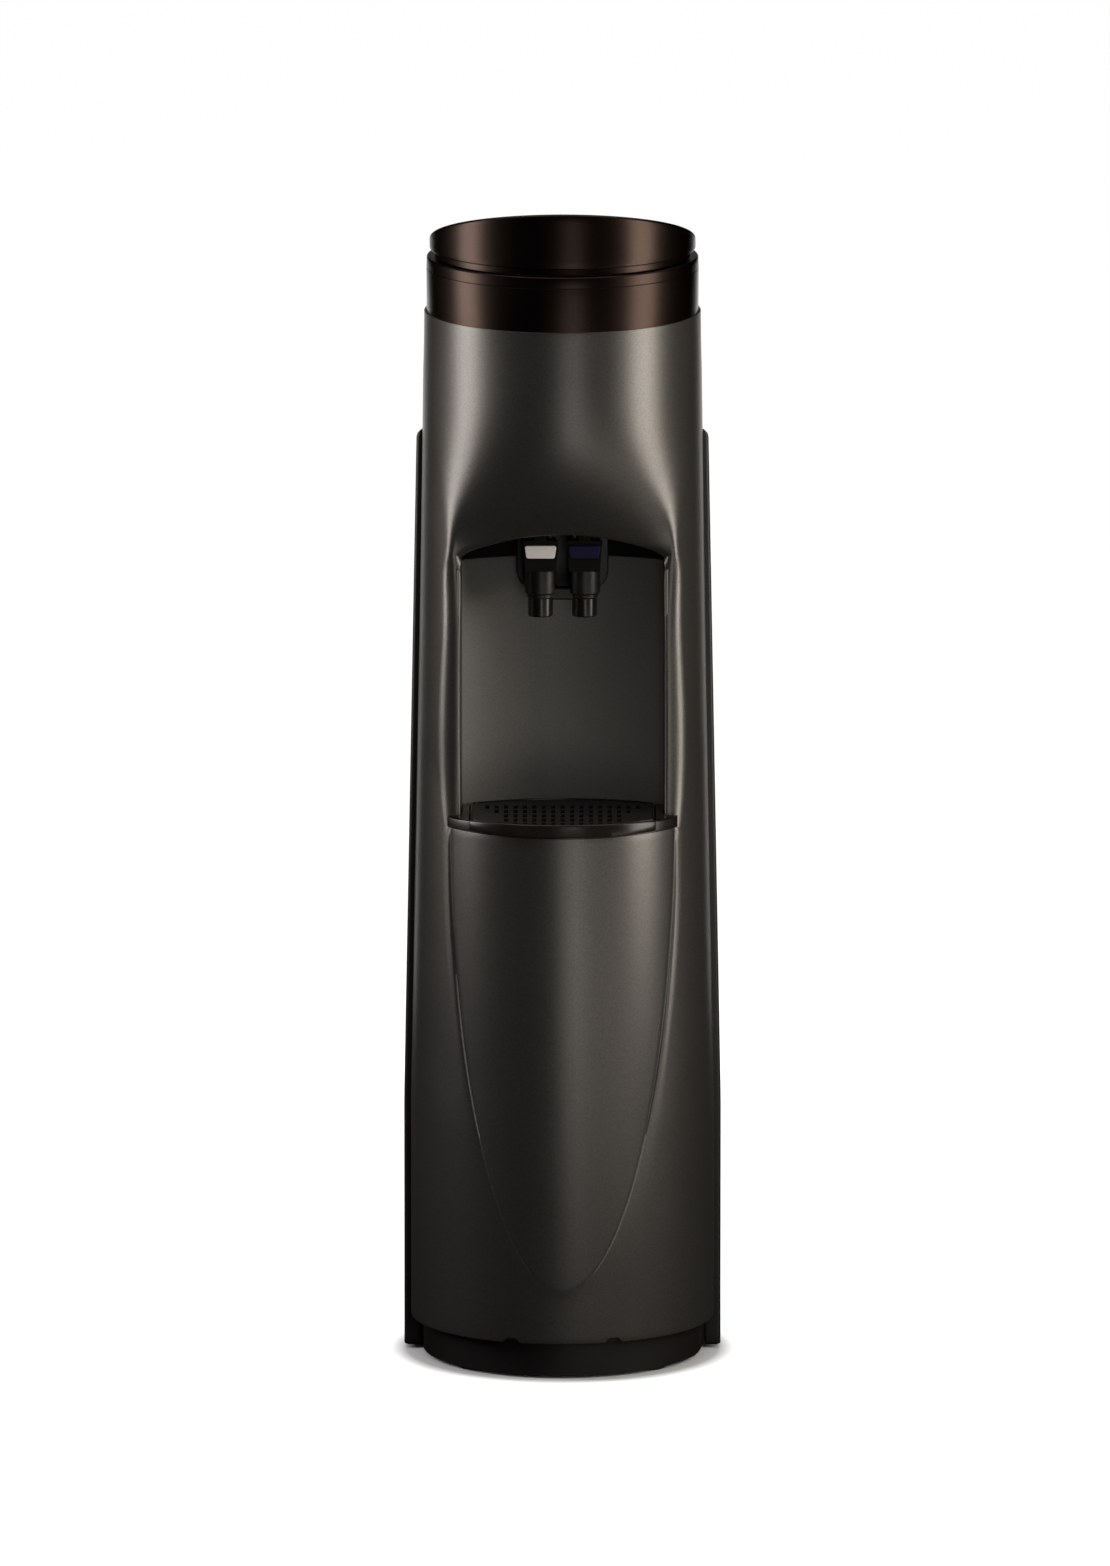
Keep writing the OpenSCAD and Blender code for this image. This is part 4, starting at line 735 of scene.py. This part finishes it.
def rear_path(half_w, inset):
    """Half of the shell in plan, from the middle of the back to the edge of its front return: straight runs
    joined by quarter rounds, for the given half width at each height and moved inwards by the inset."""
    quarter = np.linspace(0, np.pi / 2, n_quarter)
    beside = np.linspace(0, window_half_w, n_window_half)
    pillar = np.linspace(0, 1, n_pillar)[1:-1]
    forward = np.linspace(0, 1, n_side)[1:-1]
    inward = np.linspace(0, 1, n_return)[1:]
    r = rear_corner_round
    f = rear_front_round
    corner_x = half_w - r
    x = np.concatenate([
        beside + 0 * half_w,
        window_half_w + (corner_x - window_half_w) * pillar,
        corner_x + (r - inset) * np.sin(quarter),
        half_w - inset + 0 * forward,
        half_w - f + (f - np.minimum(inset, f)) * np.cos(quarter) - np.maximum(inset - f, 0),
        half_w - f - (rear_return - f) * inward + 0 * inset,
    ], 1)
    side_low, side_high = rear_front_y + f, rear_back_y - r
    y = np.concatenate([
        rear_back_y - inset + 0 * beside,
        rear_back_y - inset + 0 * pillar,
        side_high + (r - inset) * np.cos(quarter),
        side_high + (side_low - side_high) * forward + 0 * inset,
        side_low - f * np.sin(quarter) + 0 * inset,
        rear_front_y + 0 * inward + 0 * inset,
    ], 1)
    return x, y


rise_z = stations(
    [rear_low[2] + rear_foot_gap, window_low_z, window_top_z, rear_high[2] - rear_shoulder],
    [n_sill, n_window, n_head],
)[:-1, None]
shoulder_turn = np.linspace(0, np.pi / 2, n_shoulder)[:, None]
rear_z = np.concatenate([rise_z, rear_high[2] - rear_shoulder * (1 - np.sin(shoulder_turn))])
rear_inset = np.concatenate([0 * rise_z, rear_shoulder * (1 - np.cos(shoulder_turn))])
rear_w = rear_half_w - rear_taper * between(plumb_z, rear_high[2], rear_z)
rear_x, rear_y = rear_path(rear_w, rear_inset)
toward = np.arctan2(rear_x[-1], rear_y[-1] - body_y)
inward_share = np.linspace(0, 1, n_roof)[1:, None]
roof_x = rear_x[-1] + (rear_hole_r * np.sin(toward) - rear_x[-1]) * inward_share
roof_y = rear_y[-1] + (body_y + rear_hole_r * np.cos(toward) - rear_y[-1]) * inward_share
rear_x = np.concatenate([rear_x, roof_x])
rear_y = np.concatenate([rear_y, roof_y])
head_share = between(window_top_z, rear_high[2], rear_z)
edge_fall = rear_fall * np.maximum(rear_y[:1 - n_roof] - rear_front_y, 0) * head_share
roof_fall = rear_fall * np.maximum(rear_y[-n_roof] - rear_front_y, 0) * (1 - inward_share)
rear_z = np.concatenate([rear_z - edge_fall, rear_high[2] - roof_fall])
rear_half = np.stack([rear_x, rear_y, rear_z], -1)
rear_grid = np.concatenate([rear_half[:, :0:-1] * [-1, 1, 1], rear_half], 1)
rear_rows, rear_columns = rear_grid.shape[:2]
row, column = np.indices((rear_rows - 1, rear_columns - 1))
reach = np.maximum(np.abs(column - rear_columns // 2), np.abs(column + 1 - rear_columns // 2))
# The window stays open, and the front returns have no roof.
window = (reach < n_window_half) & (row >= n_sill) & (row < n_sill + n_window)
bare_top = (reach > rear_x.shape[1] - n_quarter - n_return + 1) & (row >= rear_rows - n_roof)
rear_faces = grid_faces(rear_rows, rear_columns)[~window & ~bare_top][..., ::-1]


def grained_plastic(name, colour, roughness, grain=900, depth=0.06, specular=0.5):
    """Satin moulded plastic: clouds in the colour, and a fine leather grain in the gloss and the surface."""
    cells = ("Voronoi", grain, 0, "Distance")
    textures = (("Noise", 22, 6, "Fac"), cells, cells)
    gloss = (roughness - 0.05, roughness + 0.07)
    return textured(
        name, textures, colour, (0.8, 1.2), (0.35, 0.65), gloss, (depth, 0.0006), specular=specular
    )


satin_black = grained_plastic("satin_black_moulding", (0.011, 0.009, 0.008), 0.42)
rear_shell = put_mesh("rear_casing", satin_black, *walled(rear_grid.reshape(-1, 3), rear_faces, rear_wall))
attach(rear_shell, "cabinet")
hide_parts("rear_shell")

# The plinth and its feet
# The black base pan under the casing, set back for the toes, with moulded edges. The casing and the rear
# shell close round its flange, and four rubber pads are glued under it.


def finish_nodes(material, *names, edge=0):
    """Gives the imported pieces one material, and rounds their edges by a width in millimetres."""
    for name in names:
        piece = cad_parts[name]
        piece.data.materials.clear()
        piece.data.materials.append(material)
        if edge:
            bevel = piece.modifiers.new("moulded_edges", "BEVEL")
            bevel.width = edge * mm
            bevel.segments = 2
            bevel.limit_method = "ANGLE"
            bevel.angle_limit = math.radians(35)
            bevel.harden_normals = True


rubber = grained_plastic("black_rubber", (0.016, 0.015, 0.014), 0.75, 1500, 0.12)
finish_nodes(satin_black, "base_plinth", edge=1.2)
finish_nodes(rubber, "foot_pads", edge=0.8)

# The tap panel
# The black moulding over the taps: it lines the alcove above the grey liner, behind the lip, and closes
# the alcove's ceiling. The two tap shanks pass through it.
# Darker and duller than the other black mouldings: the panel's own black with painted shade of the recess
# under the hood.
panel_black_and_shade = grained_plastic("matt_black_and_shade_moulding", (0.004, 0.0035, 0.003), 0.7, specular=0.15)
finish_nodes(panel_black_and_shade, "tap_panel")

# The drip tray, its cradle and its grille
# The gloss black cradle sits on the casing's edge and has two fixed ears. The gloss tray slides in
# between them on the cradle's plate, and its lip is a lens that thins to both ends.
tray_low, tray_high = in_mm(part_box("drip_tray"))
grille_gap = 0.3
grille_seat_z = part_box("drip_grille")[0][2] / mm - grille_gap
tray_half_w = (tray_high[0] - tray_low[0]) / 2
tray_edge = fold_line(tray_high[2])[1:]
tray_r = collar_y - tray_low[1]
tray_rim = 2.5
tray_ledge = 3
tray_nose = 1.2
tray_corner = 9
tray_back_gap = 3.1
tray_side_gap = 10
lip_front_y, lip_behind_y = -112, -80
lip_fall = 3.4
lip_lean = 3.2
ear_gap = 0.4
ear_reach = 110
ear_set_back = 0.3
ear_crown = 1.5
ear_down = 0.2
ear_sunk = 0.2
ear_back_gap = 3
ear_tip = 2.5
plate_gap = 0.1
plate_edge = 0.5
plate_set_back = 0.5


def offset_loops(outline, steps):
    """A body made of copies of a closed outline, each moved inwards by an inset and set at a height, with
    the first and last copies closed by flat faces."""
    ahead = np.roll(outline, -1, 0) - np.roll(outline, 1, 0)
    inward = unit(np.stack([-ahead[:, 1], ahead[:, 0]], -1))
    count = len(outline)
    loops = [np.column_stack([outline + inward * inset, np.full(count, 1.0) * z]) for inset, z in steps]
    faces = grid_faces(len(steps), count, closed=True).reshape(-1, 4)
    return np.concatenate(loops), faces, [np.arange(count)[::-1], (len(steps) - 1) * count + np.arange(count)]


def plate_steps(low, high, edge_r):
    """The insets and heights of a plate's side: rounded edges, and a loop on each flat face beside them."""
    turn = np.linspace(0, np.pi / 2, 5)
    below = [(edge_r * (1 - np.sin(t)), low + edge_r * (1 - np.cos(t))) for t in turn]
    above = [(edge_r * (1 - np.cos(t)), high - edge_r * (1 - np.sin(t))) for t in turn]
    flat_in = edge_r + 0.4
    return [(flat_in, low)] + below + above + [(flat_in, high)]


def joined(*bodies):
    """Several bodies of points, quads and caps as one."""
    points, faces, caps, start = [], [], [], 0
    for body in bodies:
        points.append(body[0])
        faces.append(body[1] + start)
        caps += [cap + start for cap in (body[2] if len(body) > 2 else [])]
        start += len(body[0])
    return np.concatenate(points), np.concatenate(faces), caps


def tray_outline():
    """The tray in plan: the round front, straight sides and the liner's hollow back, with rounded corners."""
    front_x = np.linspace(tray_nose - tray_half_w, tray_half_w - tray_nose, 61)
    front = np.stack([front_x, collar_y - np.sqrt(tray_r**2 - front_x**2)], -1)
    back_x = np.linspace(tray_half_w - tray_corner, tray_corner - tray_half_w, 61)
    back = np.stack([back_x, liner_y(back_x, *tray_edge) - tray_back_gap], -1)
    side_front = front[-1, 1] + tray_nose
    side_back = liner_y(tray_half_w, *tray_edge) - tray_side_gap
    side = np.stack([np.full(24, tray_half_w), np.linspace(side_front, side_back, 24)], -1)
    bend = np.linspace(0, np.pi / 2, 8)[1:-1]
    corner_x = tray_half_w - tray_corner * (1 - np.cos(bend))
    corner_y = side_back + (back[0, 1] - side_back) * np.sin(bend)
    corner = np.stack([corner_x, corner_y], -1)
    mirrored = np.concatenate([side, corner])[::-1] * [-1, 1]
    return np.concatenate([front, side, corner, back, mirrored])


def lip_share_at(y):
    """How far a depth belongs to the tray's lip: 1 in front, fading to 0 behind it."""
    return 1 - ease(lip_front_y, lip_behind_y, y)


def lip_drop(points):
    """How far the lip lies below its middle: more to the ends, and nothing at the back."""
    return lip_fall * (points[:, 0] / ridge_half_w) ** 2 * lip_share_at(points[:, 1])


tray_plan = tray_outline()
rim_z = tray_high[2] - lip_drop(tray_plan)
lean = lip_lean * lip_share_at(tray_plan[:, 1:]) * (1 - (tray_plan[:, :1] / tray_half_w) ** 2)
under_z = tray_low[2]
bowl = tray_rim + tray_ledge
# Insets and heights of the loops: up the leaning lip, over the rim, and down past the grille's ledge.
tray_loops = offset_loops(tray_plan, [
    (1.6, under_z), (1.2 - lean, under_z), (0.35 - lean, under_z + 0.35), (-lean, under_z + 1.2),
    (0, rim_z - 2.4), (0.25, rim_z - 1.2), (0.8, rim_z - 0.4), (1.6, rim_z), (tray_rim - 0.5, rim_z),
    (tray_rim - 0.1, rim_z - 0.2), (tray_rim, rim_z - 0.6), (tray_rim, grille_seat_z),
    (tray_rim + 0.4, grille_seat_z), (bowl - 0.4, grille_seat_z), (bowl, grille_seat_z - 0.4),
    (bowl, under_z + 3), (bowl + 0.6, under_z + 2.5), (bowl + 1.2, under_z + 2.5),
])


def gloss_plastic(name, colour, roughness, tint=0.2, scale=60, specular=0.5):
    """Gloss moulded plastic: a faint cloud in the colour and the surface, and polish marks in the gloss."""
    cloud = ("Noise", scale, 5, "Fac")
    textures = (cloud, ("Noise", scale * 9, 2, "Fac"), cloud)
    gloss = (roughness * 0.8, roughness * 1.2)
    return textured(
        name, textures, colour, (1 - tint, 1 + tint), (0.3, 0.7), gloss, (0.04, 0.0005), specular=specular
    )


black_gloss = gloss_plastic("black_gloss_moulding", (0.013, 0.009, 0.007), 0.24)
tray = put_mesh("drip_tray_bowl", black_gloss, *tray_loops)
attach(tray, "tray_body")
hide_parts("drip_tray")


def ear_outline(side):
    """One ear in plan: the round front carried on past the ridge, the slanted return and the tray's side."""
    inner = tray_half_w + ear_gap
    front_x = np.linspace(inner, ear_reach, 20)
    front_y = collar_y - np.sqrt((tray_r - ear_set_back) ** 2 - front_x**2)
    back_y = liner_corner_y - ear_back_gap
    fold = np.array(tray_edge) - [ear_gap, 0]
    tip = [(ear_reach, front_y[-1] + ear_tip), fold + [2, -4], fold]
    outer = np.linspace(fold, (return_half_w - ear_gap, return_back_y), 16)[1:]
    close = np.linspace((inner, back_y), (inner, front_y[0] + 1), 16)
    plan = np.concatenate([np.stack([front_x, front_y], -1), tip, outer, close])
    return plan if side > 0 else plan[::-1] * [-1, 1]


def ear_steps(plan, low):
    """The ear's side, with a crowned top that follows the lip's fall."""
    top = tray_high[2] - ear_down - lip_drop(plan)
    turn = np.linspace(0, np.pi / 2, 5)
    crown = [(ear_crown * (1 - np.cos(t)), top - ear_crown * (1 - np.sin(t))) for t in turn]
    return [(0.7, low), (0.2, low)] + crown + [(2.4, top)]


plate_x = np.linspace(-tray_edge[0] + 1, tray_edge[0] - 1, 81)
cradle_front = np.stack([plate_x, collar_y - np.sqrt((collar_r - plate_set_back) ** 2 - plate_x**2)], -1)
cradle_back = np.stack([-plate_x, liner_y(plate_x, *tray_edge) + liner_wall], -1)
cradle_plan = np.concatenate([cradle_front, cradle_back[1:-1]])
cradle_plate = offset_loops(cradle_plan, plate_steps(seat_z + plate_gap, tray_low[2] - plate_gap, plate_edge))
ear_plans = [ear_outline(side) for side in (-1, 1)]
ears = [offset_loops(plan, ear_steps(plan, tray_low[2] - ear_sunk)) for plan in ear_plans]
cradle = put_mesh("tray_cradle_ears", black_gloss, *joined(cradle_plate, *ears))
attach(cradle, "cabinet")
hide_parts("tray_cradle")
finish_nodes(satin_black, "drip_grille", edge=0.35)

# The taps
# One black casting: a back plate with round lower corners, two satin barrels with narrower gloss nozzles,
# and a bridge between them. Its shanks pass through the panel to nuts behind, each with a rubber gasket.
taps_low, taps_high = in_mm(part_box("tap_block"))
stem_low, stem_high = in_mm(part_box("right_stem"))
tap_x = (stem_low[0] + stem_high[0]) / 2
tap_y = (stem_low[1] + stem_high[1]) / 2
nozzle_z = taps_low[2]
barrel_z = nozzle_z + 22
barrel_top_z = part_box("tap_bonnets")[0][2] / mm
nozzle_r = 12
barrel_r = 15
outlet_r = 5
chamber_r = 11
plate_half_w = (taps_high[0] - taps_low[0]) / 2
plate_low_z = nozzle_z + 18
plate_t = 8
plate_low_r, plate_high_r = 20, 2
plate_round = 1.5
tap_gap = 0.3
plate_back_y = liner_axis_y + math.sqrt(liner_face_r**2 - plate_half_w**2) - tap_gap
bridge_h = 12
bridge_round, bridge_edge = 3, 2
shank_r = 6.5
shank_z = barrel_top_z - 8
shank_overlap = 4
shank_edge = 0.8
shank_steps = 48
gloss_below_z = barrel_z - 3.5
neck_half_w = 10
neck_round = 1
neck_top_z = barrel_top_z - 0.5
chamber_z = barrel_z + 8
tap_steps = 64
tap_profile = ring_profile([
    (nozzle_r, nozzle_z, 1.4), (nozzle_r, barrel_z - 4, 1.2), (nozzle_r + 0.9, barrel_z - 3, 0.5),
    (nozzle_r + 0.9, barrel_z, 0.5), (barrel_r, barrel_z, 1.8), (barrel_r, barrel_top_z, 0.6),
    (chamber_r, barrel_top_z, 0.6), (chamber_r, chamber_z, 0.6), (outlet_r, chamber_z, 0.6),
    (outlet_r, nozzle_z, 1.2),
])


def rounded_box(low_x, low_z, high_x, high_z, low_r, high_r, steps=5):
    """A rectangle's outline, its lower and its upper corners rounded."""
    return ring_profile([
        (low_x, low_z, low_r), (high_x, low_z, low_r), (high_x, high_z, high_r), (low_x, high_z, high_r)
    ], steps)


def upright_plate(outline, thickness, edge_r, back_y):
    """A plate with rounded edges that stands in front of a plane: its outline gives x and z."""
    points, faces, caps = offset_loops(outline, plate_steps(0, thickness, edge_r))
    return np.stack([points[:, 0], back_y - points[:, 2], points[:, 1]], -1), faces, caps


barrels = [turned(tap_profile, (side * tap_x, tap_y), tap_steps) for side in (-1, 1)]
plate_outline = rounded_box(
    -plate_half_w, plate_low_z, plate_half_w, taps_high[2], plate_low_r, plate_high_r, 12
)
back_plate = upright_plate(plate_outline, plate_t, plate_round, plate_back_y)
bridge_outline = rounded_box(
    -tap_x, barrel_z - bridge_h / 2, tap_x, barrel_z + bridge_h / 2, bridge_round, bridge_round
)
bridge = upright_plate(bridge_outline, bridge_h, bridge_edge, tap_y + bridge_h / 2)
circle = np.linspace(0, 2 * np.pi, shank_steps + 1)[:-1]
shank_circle = np.stack([np.cos(circle), np.sin(circle)], -1) * shank_r
shank_length = taps_high[1] - plate_back_y + shank_overlap
neck_length = plate_back_y - tap_y - plate_t / 2 - chamber_r
shanks, necks = [], []
for middle_x in (-tap_x, tap_x):
    shank_outline = shank_circle + [middle_x, shank_z]
    shanks.append(upright_plate(shank_outline, shank_length, shank_edge, taps_high[1]))
    neck_outline = rounded_box(
        middle_x - neck_half_w, chamber_z, middle_x + neck_half_w, neck_top_z, neck_round, neck_round
    )
    necks.append(upright_plate(neck_outline, neck_length, neck_round, plate_back_y - plate_t / 2))
casting = joined(*barrels, back_plate, bridge, *shanks, *necks)
taps = put_mesh("twin_tap_casting", satin_black, *casting)
taps.data.materials.append(black_gloss)
middles = np.empty(3 * len(taps.data.polygons), np.float32)
taps.data.polygons.foreach_get("center", middles)
taps.data.polygons.foreach_set("material_index", (middles[2::3] < gloss_below_z * mm).astype(np.int32))
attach(taps, "cabinet")
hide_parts("tap_block")
finish_nodes(black_gloss, "tap_bonnets", edge=0.6)
finish_nodes(satin_black, "tap_nuts")
finish_nodes(rubber, "tap_gaskets")

# The push levers and their paddles
# Each black lever rocks on a steel pin in the bonnet's ears: a cup pressed against its front plate lifts
# the valve stem. A coloured cap is snapped on the plate, white for room water and blue for cold.
# The levers take the same darkened black, partly painted shade.
finish_nodes(panel_black_and_shade, "left_lever", "right_lever", edge=0.7)
paddle_round = 2.2
paddle_edge = 0.7
paddle_in = 1.2
paddle_down = 4
paddle_taper = 3.2
white_cap = gloss_plastic("white_cap_moulding", (0.86, 0.81, 0.75), 0.38, 0.05)
blue_cap = gloss_plastic("blue_cap_moulding", (0.006, 0.004, 0.034), 0.5, 0.15, specular=0.2)
for name, body, cap_paint, cap_slot in (
    ("left_paddle", "left_lever_body", white_cap, "paddle_white"),
    ("right_paddle", "right_lever_body", blue_cap, "paddle_blue"),
):
    low, high = in_mm(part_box(name))
    corners = [
        (low[0] + paddle_taper, low[2], paddle_round), (high[0] - paddle_taper, low[2], paddle_round),
        (high[0] - paddle_in, high[2] - paddle_down, paddle_round),
        (low[0] + paddle_in, high[2] - paddle_down, paddle_round),
    ]
    cap = upright_plate(ring_profile(corners), high[1] - low[1], paddle_edge, high[1])
    paddle = put_mesh(name + "_cap", cap_paint, *cap)
    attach(paddle, body)
    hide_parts(name)


def drawn_metal(name, colour, roughness, scale, stretch):
    """Drawn or brushed metal: streaks along one direction in the tone, the gloss and a faint grain."""
    textures = (("Noise", scale, 6, "Fac"),) * 3
    gloss = (roughness - 0.08, roughness + 0.08)
    return textured(
        name, textures, colour, (0.82, 1), (0.3, 0.7), gloss, (0.05, 0.0003), metal=1, stretch=stretch
    )


stainless = drawn_metal("brushed_stainless", (0.60, 0.59, 0.57), 0.30, 60, (1, 1, 14))
silicone = gloss_plastic("clear_silicone", (0.70, 0.72, 0.70), 0.45, 0.06, 40)
finish_nodes(stainless, "lever_pins", "left_stem", "right_stem", "left_spring", "right_spring")
finish_nodes(silicone, "left_seat_cup", "right_seat_cup")

# The cold tank
# A spun stainless tank hung by its rim in a moulded deck, with a lid, a baffle and a float valve. The
# evaporator's copper band runs round it, two foam halves enclose both, and soft hoses lead to the taps.
copper = drawn_metal("drawn_copper", (0.62, 0.30, 0.16), 0.34, 90, (1, 1, 6))
white_moulding = gloss_plastic("white_moulding", (0.72, 0.72, 0.69), 0.42, 0.05, 45)
foam = grained_plastic("cream_foam", (0.62, 0.60, 0.50), 0.85, 420, 0.5)
finish_nodes(stainless, "cold_tank")
finish_nodes(satin_black, "tank_deck")
finish_nodes(white_moulding, "tank_lid", "baffle", "float_valve", "float_arm", "float_ball")
finish_nodes(copper, "evaporator_band")
finish_nodes(foam, "insulation_left", "insulation_right")
finish_nodes(silicone, "cold_tube", "room_tube")

# The frame
# Two uprights and a shelf, cut and folded from zinc coated steel sheet. The uprights stand on the
# plinth inside the casing, and the shelf between them carries the tank's foam.
zinc = drawn_metal("zinc_coated_sheet", (0.55, 0.56, 0.57), 0.38, 220, (1, 1, 0.06))
finish_nodes(zinc, "left_upright", "right_upright", "tank_shelf", edge=0.5)

# The cooling circuit
# A black enamelled compressor on rubber grommets, copper pipes, and behind them the cooling grid: one
# long tube bent to and fro, with fine wires welded on both sides and zinc strips that hang it.
enamel = gloss_plastic("black_enamel", (0.010, 0.010, 0.011), 0.3, 0.15, 80)
finish_nodes(enamel, "compressor", edge=0.6)
finish_nodes(enamel, "condenser_tube", "condenser_wires")
finish_nodes(rubber, "compressor_grommets")
finish_nodes(satin_black, "start_relay", edge=0.8)
finish_nodes(copper, "suction_tube", "discharge_tube", "filter_drier")
finish_nodes(zinc, "condenser_brackets")

# The service panel
# A zinc coated plate screwed across the back below the grid. It carries the thermostat's knob, the
# switch, the gland for the mains lead and the water inlet.
finish_nodes(zinc, "service_panel", "panel_screws", edge=0.4)
finish_nodes(zinc, "thermostat")
finish_nodes(satin_black, "thermostat_knob", "switch_bezel", "switch_rocker", "power_gland", edge=0.6)
finish_nodes(white_moulding, "inlet_fitting", edge=0.5)
finish_nodes(white_moulding, "inlet_tube")
